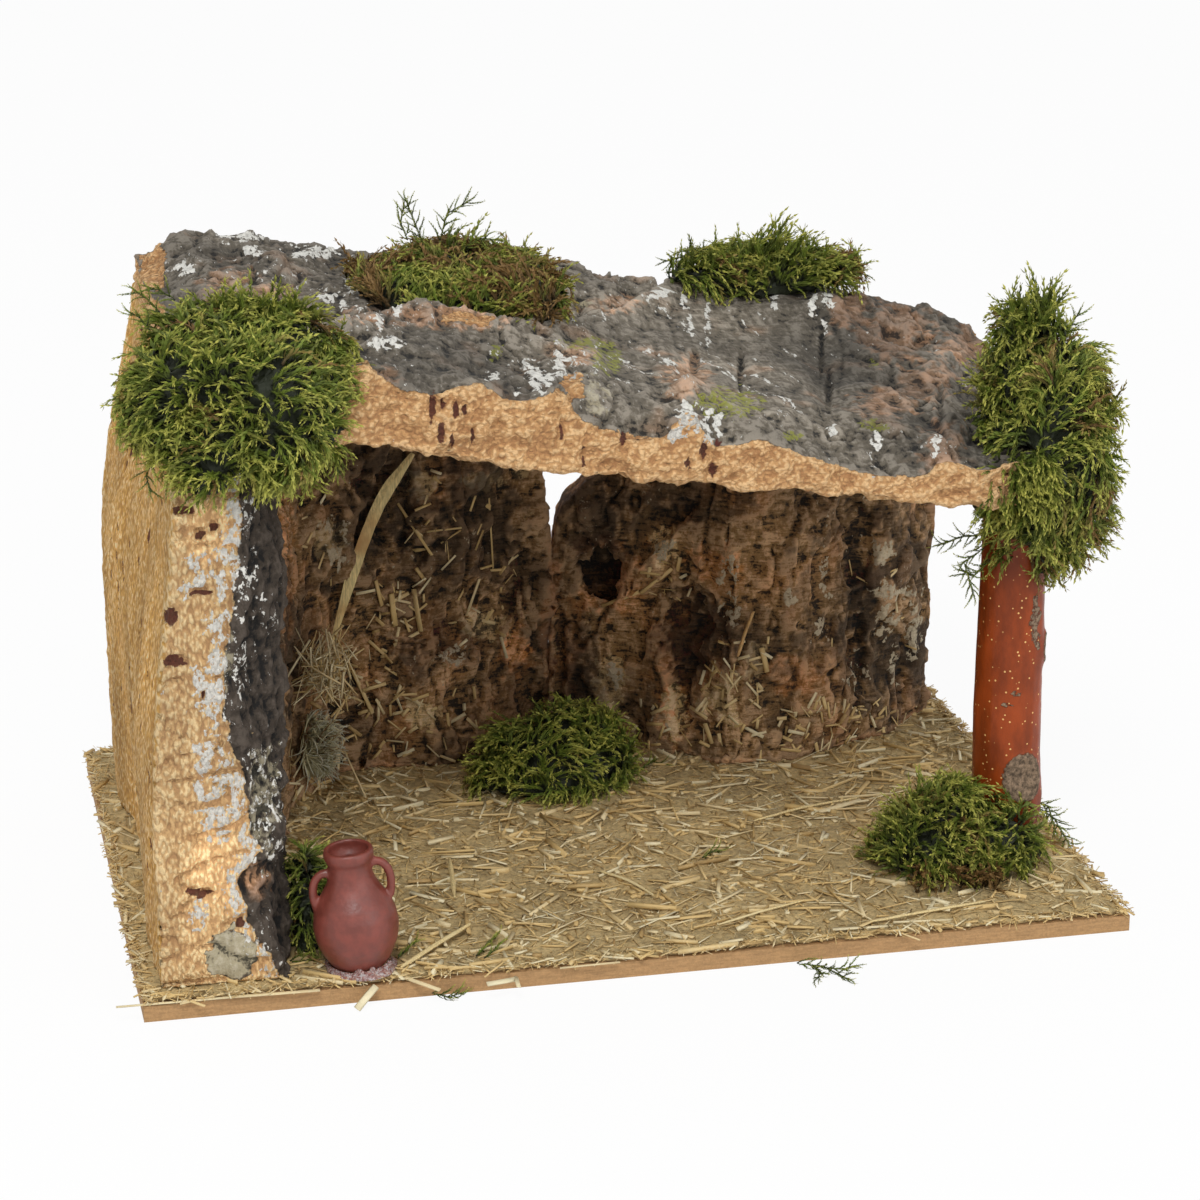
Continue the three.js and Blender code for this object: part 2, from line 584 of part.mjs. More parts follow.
// Bead of hot glue squeezed out around the jug's foot
function glueGeometry() {
  const around = 22;
  const section = [[0.3, 0], [2.6, 0], [2.3, 0.9], [1.1, 1.6], [0.35, 1.3]];
  const points = [];
  const faces = [];
  for (let i = 0; i < around; i += 1) {
    const a = (2 * Math.PI * i) / around;
    const front = Math.max(0, -Math.sin(a));
    const swell = 1 + 0.35 * noise(2 * Math.cos(a), 2 * Math.sin(a), 5) + 0.35 * front;
    for (const [r, z] of section) {
      const reach = JUG_FOOT_R + 0.35 + (r - 0.3) * swell;
      points.push(JUG_AT[0] + reach * Math.cos(a), JUG_AT[1] + reach * Math.sin(a), FOOT + z * swell);
    }
  }
  const n = section.length;
  const at = (i, k) => (i % around) * n + (k % n);
  for (let i = 0; i < around; i += 1) {
    for (let k = 0; k < n; k += 1) {
      faces.push(at(i, k), at(i + 1, k), at(i + 1, k + 1), at(i, k), at(i + 1, k + 1), at(i, k + 1));
    }
  }
  return outward(points, faces);
}

// Moss and lichen cushions: lumpy balls cut to fit what they are glued to

function cushion({ at, size, seed, detail = 3, lump = 0.16, floor = null, cutters = [] }) {
  const ball = new THREE.IcosahedronGeometry(1, detail);
  ball.deleteAttribute('uv');
  ball.deleteAttribute('normal');
  const geometry = mergeVertices(ball, 1e-4);
  const { position } = geometry.attributes;
  for (let k = 0; k < position.count; k += 1) {
    const [x, y, z] = [position.getX(k), position.getY(k), position.getZ(k)];
    const r = 1 + lump * noise(2.2 * x + seed, 2.2 * y, 2.2 * z)
      + 0.5 * lump * noise(5 * x, 5 * y + seed, 5 * z);
    let height = at[2] + size[2] * z * r;
    if (floor !== null) height = Math.max(height, floor);
    position.setXYZ(k, at[0] + size[0] * x * r, at[1] + size[1] * y * r, height);
  }
  let solid = toSolid(geometry);
  for (const cutter of cutters) solid = solid.subtract(cutter);
  return toGeometry(biggestPiece(biggestPiece(solid).simplify(0.15)));
}

// A point of the roof's plan, that much above the underside
const onRoof = (x, y, up) => [x, y, under(x, y) + up];

const jug = jugGeometry();
const jugGlue = glueGeometry();
const post = postGeometry();
const [frontRoofSeat, rearRoofSeat, leftWallSeat] = [frontRoof, rearRoof, leftWall].map(seat);
const [backLeftSeat, postSeat, jugSeat, glueSeat] = [backLeft, post, jug, jugGlue].map(seat);

// Straw and reed: flat or round stalks laid along a line

function stalk(points, width, thick, steps = 6, turn = 0) {
  const path = new THREE.CatmullRomCurve3(points.map((p) => new THREE.Vector3(...p)));
  const rings = [];
  for (let k = 0; k <= steps; k += 1) {
    const t = k / steps;
    const p = path.getPoint(t);
    const way = path.getTangent(t);
    const side = new THREE.Vector3().crossVectors(way, new THREE.Vector3(0, 0, 1));
    if (side.length() < 0.2) side.set(1, 0, 0);
    side.normalize().applyAxisAngle(way, turn);
    const up = new THREE.Vector3().crossVectors(side, way).normalize();
    const taper = Math.min(1, 0.45 + 2.2 * Math.min(t, 1 - t));
    rings.push([[-1, 0], [0, -1], [1, 0], [0, 1]].map(([a, b]) => p.clone()
      .addScaledVector(side, a * width * 0.5 * taper).addScaledVector(up, b * thick * 0.5)));
  }
  const positions = rings.flat().flatMap((p) => p.toArray());
  const faces = [0, 1, 2, 0, 2, 3];
  for (let k = 0; k < steps; k += 1) {
    for (let i = 0; i < 4; i += 1) {
      const [a, b] = [k * 4 + i, k * 4 + ((i + 1) % 4)];
      faces.push(a, a + 4, b + 4, a, b + 4, b);
    }
  }
  const last = steps * 4;
  faces.push(last, last + 2, last + 1, last, last + 3, last + 2);
  return outward(positions, faces);
}

addMesh('base_board', boardGeometry(), 'board');
addMesh('ground_cover', coverGeometry(), 'cover');
addMesh('left_wall', leftWall, 'cork');
addMesh('back_wall_left', backLeft, 'bark');
addMesh('back_wall_right', backRight, 'bark');
addMesh('roof_front', frontRoof, 'bark');
addMesh('roof_rear', rearRoof, 'bark');
addMesh('post', post, 'stem');
addMesh('jug', jug, 'clay');
addMesh('jug_glue', jugGlue, 'glue');

addMesh('moss_roof_corner', cushion({
  at: onRoof(-115, 16, 6.8), size: [31, 27, 27], seed: 3, detail: 4, lump: 0.22,
  cutters: [frontRoofSeat, rearRoofSeat, leftWallSeat],
}), 'moss');
addMesh('moss_post_top', cushion({
  at: onRoof(133, 50, 13.4), size: [20, 28, 42], seed: 5, detail: 4, lump: 0.2,
  cutters: [frontRoofSeat, postSeat],
}), 'moss');
addMesh('moss_roof_left', cushion({
  at: onRoof(-36, 126, 19.8), size: [38, 38, 16], seed: 13, cutters: [frontRoofSeat, rearRoofSeat],
}), 'moss');
addMesh('moss_roof_right', cushion({
  at: onRoof(78, 181, 29.7), size: [33, 14, 9], seed: 17, cutters: [frontRoofSeat],
}), 'moss');
addMesh('moss_floor', cushion({
  at: [0, 138, FOOT + 2], size: [28, 17, 23], seed: 21, floor: FOOT,
}), 'moss');
addMesh('moss_post_foot', cushion({
  at: [108, 45, FOOT + 2], size: [27, 20, 24], seed: 27, floor: FOOT, cutters: [postSeat],
}), 'moss');
addMesh('moss_by_jug', cushion({
  at: [-99, 30, FOOT], size: [9, 13, 30], seed: 33, floor: FOOT,
  cutters: [leftWallSeat, jugSeat, glueSeat],
}), 'moss');
addMesh('lichen_tuft', cushion({
  at: [-81, 137, 28], size: [9, 8, 11], seed: 39, detail: 2, cutters: [backLeftSeat, leftWallSeat],
}), 'lichen');
addMesh('straw_tangle', cushion({
  at: [-78, 137, 55], size: [11, 7, 12], seed: 45, detail: 2, cutters: [backLeftSeat],
}), 'straw');

addMesh('reed_leaf', stalk(
  [[-70.6, 158.2, 57], [-60.9, 162.6, 84], [-51.4, 168.2, 102], [-40.9, 169.4, 116]],
  3.3, 0.8, 8, 1.35,
), 'straw');
addMesh('straw_stick', stalk(
  [[63.5, 143.4, 46], [66.6, 145.9, 53.5], [69.8, 146.9, 60.5]], 1.8, 1.4, 4,
), 'straw');

const FLOOR_STRAWS = [
  [[-74.5, 3.5], [-61.5, 17], [-49, 30], 2.2],
  [[69, 6], [88, 9], [108, 13], 1.5],
  [[-46, 82], [-48, 66], [-50, 51], 1.9],
  [[24, 14], [39, 20], [54, 26], 1.3],
  [[-2, 62], [5, 52], [10, 40], 1.5],
  [[56, 92], [75, 99], [95, 104], 1.4],
];
FLOOR_STRAWS.forEach(([a, b, c, width], index) => {
  const thick = width * 0.7;
  const lie = FOOT + thick / 2;
  addMesh(`floor_straw_${index + 1}`,
    stalk([[...a, lie], [...b, lie + 0.4], [...c, lie]], width, thick, 4), 'straw');
});

group.traverse((node) => {
  if (node.isMesh) node.geometry.translate(0, -BOARD_D / 2, 0);
});

export default group;
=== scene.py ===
"""Looks of a cork nativity stable: bark slabs with bare cork edges, a stem post, a small jug,
moss, lichen and straw on a fibreboard base. All lengths are metres unless a name ends in _mm."""

import math

import bpy
import numpy as np
from bpy.props import FloatProperty, FloatVectorProperty, IntProperty, PointerProperty
from mathutils import Matrix, Vector
from mathutils.bvhtree import BVHTree


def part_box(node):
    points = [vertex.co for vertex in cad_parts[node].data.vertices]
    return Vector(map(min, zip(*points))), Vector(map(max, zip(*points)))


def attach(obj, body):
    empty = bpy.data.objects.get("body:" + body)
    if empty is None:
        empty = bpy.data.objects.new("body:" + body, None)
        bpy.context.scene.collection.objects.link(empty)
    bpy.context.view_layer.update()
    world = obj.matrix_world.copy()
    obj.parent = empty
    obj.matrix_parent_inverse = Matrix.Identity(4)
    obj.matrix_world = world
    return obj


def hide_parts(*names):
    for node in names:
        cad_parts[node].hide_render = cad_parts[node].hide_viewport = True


bl_info = {
    "name": "Cork Nativity Stable",
    "version": (1, 0, 0),
    "blender": (4, 5, 0),
    "location": "3D View > Sidebar > Stable",
    "description": "Dresses a cork stable with bark, moss, straw and a jug",
    "category": "Add Mesh",
}

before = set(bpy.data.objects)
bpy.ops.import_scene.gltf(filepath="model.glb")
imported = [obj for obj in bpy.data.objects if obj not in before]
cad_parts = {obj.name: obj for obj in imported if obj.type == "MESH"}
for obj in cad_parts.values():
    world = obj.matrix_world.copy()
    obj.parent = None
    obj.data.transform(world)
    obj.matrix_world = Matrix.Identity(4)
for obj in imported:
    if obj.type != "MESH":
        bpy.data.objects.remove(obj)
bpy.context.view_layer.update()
MM = 0.001
# Spacing of the points on the smaller pieces
POST_STEP, JUG_STEP, GLUE_STEP, CORE_STEP, STALK_STEP = 0.0008, 0.0005, 0.00025, 0.0016, 0.0003
# How many there are of what is strewn, pitted or piled in one place
BELLY_PITS, GLUE_BLOBS, TANGLE_STRAWS, RIM_FIBRES, RIM_STRAWS = 170, 26, 170, 520, 90
FLOOR_TOP_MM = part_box("ground_cover")[1].z / MM
FRONT_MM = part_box("base_board")[0].y / MM

# The photo's camera: places and windows written in pixels of the photo go through it
CAMERA_MM = np.array((-219.1, -1015.94, 430.17))
CAMERA_TURN = math.radians(-12.5558)
CAMERA_TILT = math.radians(-18.4236)
LENS = 103.86
PHOTO_PX = 1200


def screen(red, green, blue):
    """A colour as seen on a screen, 0 to 255, in the linear values that materials use."""
    return tuple(((c / 255 + 0.055) / 1.055) ** 2.4 if c > 10 else c / 3300
                 for c in (red, green, blue))


def colour_setting(name, description, *value):
    return FloatVectorProperty(name=name, description=description, subtype="COLOR",
                               size=3, min=0, max=1, default=screen(*value))


class StableBaseSettings(bpy.types.PropertyGroup):
    board: colour_setting("Board", "Bare fibreboard", 176, 138, 94)
    crust: colour_setting("Crust", "Glued sawdust between the straws", 190, 167, 119)
    straw: colour_setting("Straw", "Dry straw", 228, 205, 148)
    chopped: IntProperty(name="Chopped straws", description="Short pieces strewn on the floor",
                         default=3600, min=0, max=8000)
    fibres: IntProperty(name="Fibres", description="Fine fibres strewn on the floor",
                        default=9500, min=0, max=15000)
    grit: FloatProperty(name="Crust relief", description="Height of the lumps in the crust",
                        default=0.0009, min=0, max=0.003, unit="LENGTH")


class StableBarkSettings(bpy.types.PropertyGroup):
    mesh_step: FloatProperty(name="Mesh step", description="Spacing of the points on the slabs",
                             default=0.00108, min=0.0008, max=0.004, unit="LENGTH")
    relief: FloatProperty(name="Relief", description="Depth of the fine furrows in the bark",
                          default=0.0014, min=0, max=0.004, unit="LENGTH")
    bark: colour_setting("Bark", "Weathered bark of the roof", 104, 96, 83)
    inside: colour_setting("Inside bark", "Brown bark of the rear walls", 122, 93, 57)
    cork: colour_setting("Cork", "Freshly cut cork", 222, 170, 114)
    sawn: colour_setting("Sawn cork", "Sawn face of the left wall", 224, 180, 124)
    belly: colour_setting("Belly", "Smooth side of the left wall", 222, 170, 88)
    # Besides lichen crust and paint flecks, the white paints glints on the roof's bare cork as
    # painted highlights.
    white: colour_setting("White", "Lichen crust and paint flecks", 240, 238, 230)


class StablePostSettings(bpy.types.PropertyGroup):
    stem: colour_setting("Stem", "Red-brown stem", 153, 65, 20)
    scar: colour_setting("Scar", "Grey scars of old twigs", 128, 108, 88)


class StableJugSettings(bpy.types.PropertyGroup):
    clay: colour_setting("Clay", "Dusty red jug", 121, 58, 47)
    height: FloatProperty(name="Height", description="Height of the jug on its own axis",
                          default=0.0368, min=0.02, max=0.06, unit="LENGTH")
    lean: FloatProperty(name="Lean", description="How far the jug leans to the left",
                        default=math.radians(4.5), min=0, max=0.3, unit="ROTATION")
    wall: FloatProperty(name="Wall", description="Thickness of the jug's wall",
                        default=0.0015, min=0.0008, max=0.003, unit="LENGTH")


class StableMossSettings(bpy.types.PropertyGroup):
    fresh: colour_setting("Fresh", "Green shoots", 101, 116, 34)
    deep: colour_setting("Deep", "Shaded base of the shoots", 26, 32, 10)
    tips: colour_setting("Tips", "Young tips", 186, 182, 84)
    dry: colour_setting("Dry", "Brown shoots", 128, 98, 52)
    shoot: FloatProperty(name="Shoot", description="Length of a shoot",
                         default=0.0105, min=0.003, max=0.02, unit="LENGTH")
    spacing: FloatProperty(name="Spacing", description="Distance between the shoots",
                           default=0.0021, min=0.001, max=0.006, unit="LENGTH")


class StableStageSettings(bpy.types.PropertyGroup):
    azimuth: FloatProperty(name="Azimuth", description="Turn of the camera round the stable",
                           default=CAMERA_TURN, min=-3.2, max=3.2, unit="ROTATION")
    tilt: FloatProperty(name="Tilt", description="Tilt of the camera from level",
                        default=CAMERA_TILT, min=-1.5, max=1.5, unit="ROTATION")
    lens: FloatProperty(name="Lens", description="Focal length in mm", default=LENS,
                        min=20, max=300)
    key: FloatProperty(name="Key light", description="Power of the large lamp", default=23,
                       min=0, max=300, unit="POWER")
    sky: FloatProperty(name="Sky", description="Strength of the even light", default=0.55,
                       min=0, max=3)


# Selecting and shaping

def deselect_all():
    if bpy.context.object and bpy.context.object.mode != "OBJECT":
        bpy.ops.object.mode_set(mode="OBJECT")
    bpy.ops.object.select_all(action="DESELECT")


def pick(piece):
    """Selects one piece alone."""
    deselect_all()
    piece.select_set(True)
    bpy.context.view_layer.objects.active = piece
    return piece


def edit(piece):
    pick(piece)
    bpy.ops.object.mode_set(mode="EDIT")
    bpy.ops.mesh.select_all(action="SELECT")


def leave_edit():
    bpy.ops.object.mode_set(mode="OBJECT")


def settle(piece):
    """Puts the piece's place into its mesh."""
    pick(piece)
    bpy.ops.object.transform_apply(location=True, rotation=True, scale=True)
    return piece


def add_modifier(piece, name, kind, **values):
    pick(piece)
    modifier = piece.modifiers.new(name, kind)
    for key, value in values.items():
        setattr(modifier, key, value)
    bpy.ops.object.modifier_apply(modifier=modifier.name)


def copy_of(node, name):
    """A new piece with the merged mesh of a CAD node."""
    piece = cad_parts[node].copy()
    piece.data = piece.data.copy()
    piece.name = name
    piece.parent = None
    for key in [k for k in piece.keys() if k.startswith("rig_")]:
        del piece[key]
    bpy.context.scene.collection.objects.link(piece)
    piece.data.materials.clear()
    edit(piece)
    bpy.ops.mesh.remove_doubles(threshold=0.00001)
    leave_edit()
    if piece.data.has_custom_normals:
        bpy.ops.mesh.customdata_custom_splitnormals_clear()
    for layer in list(piece.data.uv_layers):
        piece.data.uv_layers.remove(layer)
    return piece


def soften(piece, rounds):
    add_modifier(piece, "Soften", "SMOOTH", factor=0.5, iterations=rounds)


def even_out(piece, step, rounds):
    """Gives a piece evenly spaced points and smooths its flat facets away."""
    add_modifier(piece, "Even mesh", "REMESH", mode="VOXEL", voxel_size=step)
    soften(piece, rounds)


def shade_smooth(piece):
    pick(piece)
    bpy.ops.object.shade_smooth()
    return piece


def even_slab(node, name, step, rounds=5):
    """A finer, softer copy of a solid of the CAD model."""
    piece = copy_of(node, name)
    even_out(piece, step, rounds)
    return shade_smooth(piece)


def join(pieces, name):
    deselect_all()
    for piece in pieces:
        piece.select_set(True)
    bpy.context.view_layer.objects.active = pieces[0]
    if len(pieces) > 1:
        bpy.ops.object.join()
    pieces[0].name = name
    return pieces[0]


def dress(piece, slot, material, *nodes):
    """Gives a piece its material and its place in the part."""
    piece.data.materials.clear()
    piece.data.materials.append(material)
    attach(piece, "root")
    if nodes:
        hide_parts(*nodes)
    return piece


def places_mm(piece):
    values = np.empty(len(piece.data.vertices) * 3, np.float32)
    piece.data.vertices.foreach_get("co", values)
    return values.reshape(-1, 3).astype(float) / MM


def normals_of(piece):
    values = np.empty(len(piece.data.vertices) * 3, np.float32)
    piece.data.vertex_normals.foreach_get("vector", values)
    return values.reshape(-1, 3).astype(float)


def set_places(piece, points_mm):
    piece.data.vertices.foreach_set("co", (points_mm * MM).astype(np.float32).ravel())
    piece.data.update()


def push_out(piece, amounts_mm):
    """Moves each point of a piece along its normal."""
    set_places(piece, places_mm(piece) + normals_of(piece) * amounts_mm[:, None])


def mark(piece, name, values):
    """Keeps one number for each point, which materials read."""
    layer = piece.data.attributes.get(name) or piece.data.attributes.new(name, "FLOAT", "POINT")
    layer.data.foreach_set("value", np.clip(values, 0, 1).astype(np.float32))


# Numbers over a surface

def smooth(t):
    t = np.clip(t, 0, 1)
    return t * t * (3 - 2 * t)


def ramp(value, low, high):
    return smooth((value - low) / (high - low))


def lattice(i, j, k):
    """Repeatable values from -1 to 1 at whole-number places."""
    h = ((i * 374761393) ^ (j * 668265263) ^ (k * 1442695041)) & 0xFFFFFFFF
    h = ((h ^ (h >> 13)) * 1274126177) & 0xFFFFFFFF
    return (h ^ (h >> 16)) / 2147483648.0 - 1.0


def noise(x, y, z=0.0):
    """Smooth noise from -1 to 1, with bumps about 1 wide."""
    x, y, z = np.broadcast_arrays(*(np.asarray(a, float) for a in (x, y, z)))
    i, j, k = (np.floor(a).astype(np.int64) for a in (x, y, z))
    u, v, w = (smooth(a - b) for a, b in ((x, i), (y, j), (z, k)))
    total = 0
    for di in (0, 1):
        for dj in (0, 1):
            for dk in (0, 1):
                share = (u if di else 1 - u) * (v if dj else 1 - v) * (w if dk else 1 - w)
                total = total + share * lattice(i + di, j + dj, k + dk)
    return total


def cloud(points, size, seed=0, octaves=4, stretch=(1, 1, 1)):
    """Fractal noise, about -1 to 1, with bumps of that size in mm."""
    q = points / (np.array(stretch) * size)
    total, reach, share = 0, 0, 1.0
    for n in range(octaves):
        total = total + share * noise(q[:, 0] + seed, q[:, 1] + 7 * n, q[:, 2] - seed)
        reach += share
        share *= 0.55
        q = q * 2.03
    return total / reach * 1.4


def crags(points, size, seed=0, octaves=4, stretch=(1, 1, 1)):
    """Ridged noise: near 1 on sharp crests, lower between them."""
    q = points / (np.array(stretch) * size)
    q = q + 0.35 * noise(q[:, 1] + seed, q[:, 2], q[:, 0])[:, None]
    total, reach, share = 0, 0, 1.0
    for n in range(octaves):
        value = 1 - np.abs(noise(q[:, 0] + seed, q[:, 1] + 7 * n, q[:, 2] - seed))
        total, reach = total + share * value ** 2, reach + share
        share *= 0.55
        q = q * 2.03
    return total / reach


def furrows(across, along, seed, pitch):
    """Bark relief: 0 in the cracks, about 1 on the plates."""
    bend = 1.3 * noise(across / 30, along / 45, seed)
    coarse = np.abs(noise(across / pitch + bend, along / (4.2 * pitch), seed + 3.5))
    fine = np.abs(noise(across / (0.42 * pitch) + bend, along / (1.1 * pitch), seed + 7.5))
    scales = np.abs(noise(across / (0.2 * pitch), along / (0.34 * pitch), seed + 11.5))
    return (0.5 * np.minimum(1, 3.2 * coarse) + 0.34 * np.minimum(1, 2.6 * fine)
            + 0.16 * np.minimum(1, 2.2 * scales))


def ledges(up, across, seed, pitch):
    """Thin wavy layers that rise slowly and break off, from 0 to 1."""
    phase = (up / pitch + 2.4 * noise(across / 18, up / 20, seed)
             + 0.9 * noise(across / 5, up / 7, seed + 4.5))
    return (phase % 1.0) ** 1.5


def terraces(value):
    """Turns a smooth rise into flat plates with steep broken rims, one for each whole number."""
    whole = np.floor(value)
    return whole + ramp(value - whole, 0.72, 1.0)


def cracks(points, size, seed, stretch):
    """1 along thin wandering lines about that many mm apart."""
    q = points / (np.array(stretch) * size)
    q = q + 0.4 * noise(q[:, 0] * 2.3, q[:, 1] * 2.3, q[:, 2] * 2.3 + seed)[:, None]
    return np.exp(-(noise(q[:, 0] + seed, q[:, 1], q[:, 2] - seed) / (1.1 / size)) ** 2)


def standing_out(piece, rounds, reach_mm):
    """0 in hollows, 0.5 on even ground and 1 on crests, compared with the smoothed surface."""
    edges = np.empty(len(piece.data.edges) * 2, np.int32)
    piece.data.edges.foreach_get("vertices", edges)
    a, b = edges.reshape(-1, 2).T
    points = places_mm(piece)
    count = len(points)
    degree = np.maximum(np.bincount(a, minlength=count) + np.bincount(b, minlength=count), 1)
    even = points.copy()
    for _ in range(rounds):
        mean = np.stack([(np.bincount(a, even[b, k], count) + np.bincount(b, even[a, k], count))
                         / degree for k in range(3)], 1)
        even = (even + mean) / 2
    height = ((points - even) * normals_of(piece)).sum(1)
    return np.clip(0.5 + 0.5 * height / reach_mm, 0, 1)


def mark_crests(piece):
    mark(piece, "crest", 0.55 * standing_out(piece, 50, 1.0) + 0.45 * standing_out(piece, 8, 0.3))


# Places in the photo

def photo_axes():
    ahead = np.array((-math.sin(CAMERA_TURN) * math.cos(CAMERA_TILT),
                      math.cos(CAMERA_TURN) * math.cos(CAMERA_TILT), math.sin(CAMERA_TILT)))
    right = np.array((math.cos(CAMERA_TURN), math.sin(CAMERA_TURN), 0.0))
    return ahead, right, np.cross(right, ahead), LENS / 36 * PHOTO_PX


def in_photo(points):
    """Where points in mm appear in the photo, in its pixels."""
    ahead, right, up, focal = photo_axes()
    away = points - CAMERA_MM
    depth = away @ ahead
    return np.stack([PHOTO_PX / 2 + focal * (away @ right) / depth,
                     PHOTO_PX / 2 - focal * (away @ up) / depth], 1)


def photo_ray(u, v):
    ahead, right, up, focal = photo_axes()
    way = ahead + right * (u - PHOTO_PX / 2) / focal - up * (v - PHOTO_PX / 2) / focal
    return way / np.linalg.norm(way)


def at_depth(u, v, y_mm):
    """The point on the upright plane y_mm that appears at a pixel of the photo."""
    way = photo_ray(u, v)
    return CAMERA_MM + way * (y_mm - CAMERA_MM[1]) / way[1]


def at_level(u, v, z_mm):
    """The point on the level plane z_mm that appears at a pixel of the photo."""
    way = photo_ray(u, v)
    return CAMERA_MM + way * (z_mm - CAMERA_MM[2]) / way[2]


def placed(tree, u, v):
    """The spot, and the way out of the surface, that a pixel of the photo shows."""
    spot, normal, _, _ = tree.ray_cast(Vector(CAMERA_MM), Vector(photo_ray(u, v)))
    return (None, None) if spot is None else (spot, normal)


def windows(piece, listed, ragged=0.45):
    """1 inside the ellipses (x0, y0, x1, y1) of the photo, on the side that faces it."""
    points, normals = places_mm(piece), normals_of(piece)
    px = in_photo(points)
    facing = ramp(-(normals * (points - CAMERA_MM)).sum(1) / 1000, -0.05, 0.15)
    rough = ragged * cloud(points, 3.0, 1, 3)
    total = np.zeros(len(points))
    for x0, y0, x1, y1 in listed:
        d = np.hypot((px[:, 0] - (x0 + x1) / 2) / (x1 - x0), (px[:, 1] - (y0 + y1) / 2) / (y1 - y0))
        total = np.maximum(total, ramp(2 * d + rough, 1.15, 0.8))
    return total * facing


def line_at(pairs, at):
    return np.interp(at, [p[0] for p in pairs], [p[1] for p in pairs])


# Material building

class Nodes:
    """Adds nodes to a tree; inputs that are sockets are linked, others are set."""

    def __init__(self, tree):
        self.tree = tree

    def add(self, kind, inputs=None, **settings):
        node = self.tree.nodes.new(kind)
        for key, value in settings.items():
            setattr(node, key, value)
        for key, value in (inputs or {}).items():
            socket = node.inputs[key]
            if isinstance(value, bpy.types.NodeSocket):
                self.tree.links.new(value, socket)
            elif socket.type == "RGBA" and len(value) == 3:
                socket.default_value = (*value, 1)
            else:
                socket.default_value = value
        return node

    def math(self, operation, a, b=0.0, c=0.0):
        node = self.add("ShaderNodeMath", {0: a, 1: b}, operation=operation)
        if isinstance(c, bpy.types.NodeSocket):
            self.tree.links.new(c, node.inputs[2])
        else:
            node.inputs[2].default_value = c
        return node.outputs[0]

    def blend(self, share, a, b):
        """Colour a, going to colour b with the share."""
        node = self.add("ShaderNodeMix", data_type="RGBA", clamp_factor=True)
        for key, value in ((0, share), (6, a), (7, b)):
            socket = node.inputs[key]
            if isinstance(value, bpy.types.NodeSocket):
                self.tree.links.new(value, socket)
            elif key == 0:
                socket.default_value = value
            else:
                socket.default_value = (*value[:3], 1)
        return node.outputs[2]

    def range(self, value, low, high, to_low=0.0, to_high=1.0):
        return self.add("ShaderNodeMapRange", {0: value, 1: low, 2: high, 3: to_low, 4: to_high},
                        interpolation_type="SMOOTHSTEP").outputs[0]

    def ragged(self, mark, grain, share):
        """A mark whose border follows a grain of 0 to 1."""
        return self.math("MULTIPLY_ADD", self.math("SUBTRACT", grain, 0.5), share, mark)

    def attribute(self, name):
        return self.add("ShaderNodeAttribute", attribute_name=name).outputs["Fac"]

    def millimetres(self, stretch=(1, 1, 1)):
        place = self.add("ShaderNodeTexCoord").outputs["Object"]
        return self.add("ShaderNodeVectorMath", {0: place, 1: [1000 / s for s in stretch]},
                        operation="MULTIPLY").outputs[0]

    def noise(self, vector, size, detail=4.0, roughness=0.6, distortion=0.0):
        return self.add("ShaderNodeTexNoise", {
            "Vector": vector, "Scale": 1 / size, "Detail": detail, "Roughness": roughness,
            "Distortion": distortion}).outputs["Fac"]

    def group(self, tree, inputs):
        node = self.add("ShaderNodeGroup", node_tree=tree)
        for key, value in inputs.items():
            if isinstance(value, bpy.types.NodeSocket):
                self.tree.links.new(value, node.inputs[key])
            else:
                node.inputs[key].default_value = value
        return node


def new_group(name, inputs, outputs):
    """An empty effect group, its node builder, and its input and output nodes."""
    tree = bpy.data.node_groups.new(name, "ShaderNodeTree")
    for label, kind, value in inputs:
        socket = tree.interface.new_socket(name=label, in_out="INPUT", socket_type=kind)
        if value is not None:
            socket.default_value = value
    for label, kind in outputs:
        tree.interface.new_socket(name=label, in_out="OUTPUT", socket_type=kind)
    build = Nodes(tree)
    return tree, build, build.add("NodeGroupInput"), build.add("NodeGroupOutput")


def flecks_group():
    """Small hard-edged flecks whose number follows Amount."""
    tree, b, start, end = new_group("Flecks", [
        ("Vector", "NodeSocketVector", None), ("Size", "NodeSocketFloat", 1.5),
        ("Amount", "NodeSocketFloat", 0.5)], [("Mask", "NodeSocketFloat")])
    scale = b.math("DIVIDE", 1.0, start.outputs["Size"])
    grain = b.add("ShaderNodeTexNoise", {"Vector": start.outputs["Vector"], "Scale": scale,
                                         "Detail": 5.0, "Roughness": 0.66}).outputs["Fac"]
    edge = b.math("MULTIPLY_ADD", start.outputs["Amount"], -0.42, 0.8)
    above = b.math("SUBTRACT", grain, edge)
    tree.links.new(b.range(above, 0.0, 0.035), end.inputs["Mask"])
    return tree


def cork_group():
    """Spongy cut cork: a tone and a height. The tone follows the height, so materials paint shade
    between the lumps and highlights on them.
    """
    tree, b, start, end = new_group("Cork skin", [("Vector", "NodeSocketVector", None)], [
        ("Tone", "NodeSocketFloat"), ("Height", "NodeSocketFloat")])
    place = start.outputs["Vector"]
    warp = b.add("ShaderNodeTexNoise", {"Vector": place, "Scale": 0.35, "Detail": 2.0})
    moved = b.add("ShaderNodeVectorMath", {0: warp.outputs["Color"], 1: (2.4, 2.4, 2.4),
                                           2: place}, operation="MULTIPLY_ADD").outputs[0]
    lumps = b.add("ShaderNodeTexVoronoi", {"Vector": moved, "Scale": 0.5, "Smoothness": 0.35},
                  feature="SMOOTH_F1").outputs["Distance"]
    crumbs = b.noise(place, 1.5, 5.0, 0.7)
    height = b.math("MULTIPLY_ADD", lumps, -1.5, b.math("MULTIPLY", crumbs, 1.1))
    tree.links.new(height, end.inputs["Height"])
    tree.links.new(b.range(height, -0.75, 0.35), end.inputs["Tone"])
    return tree


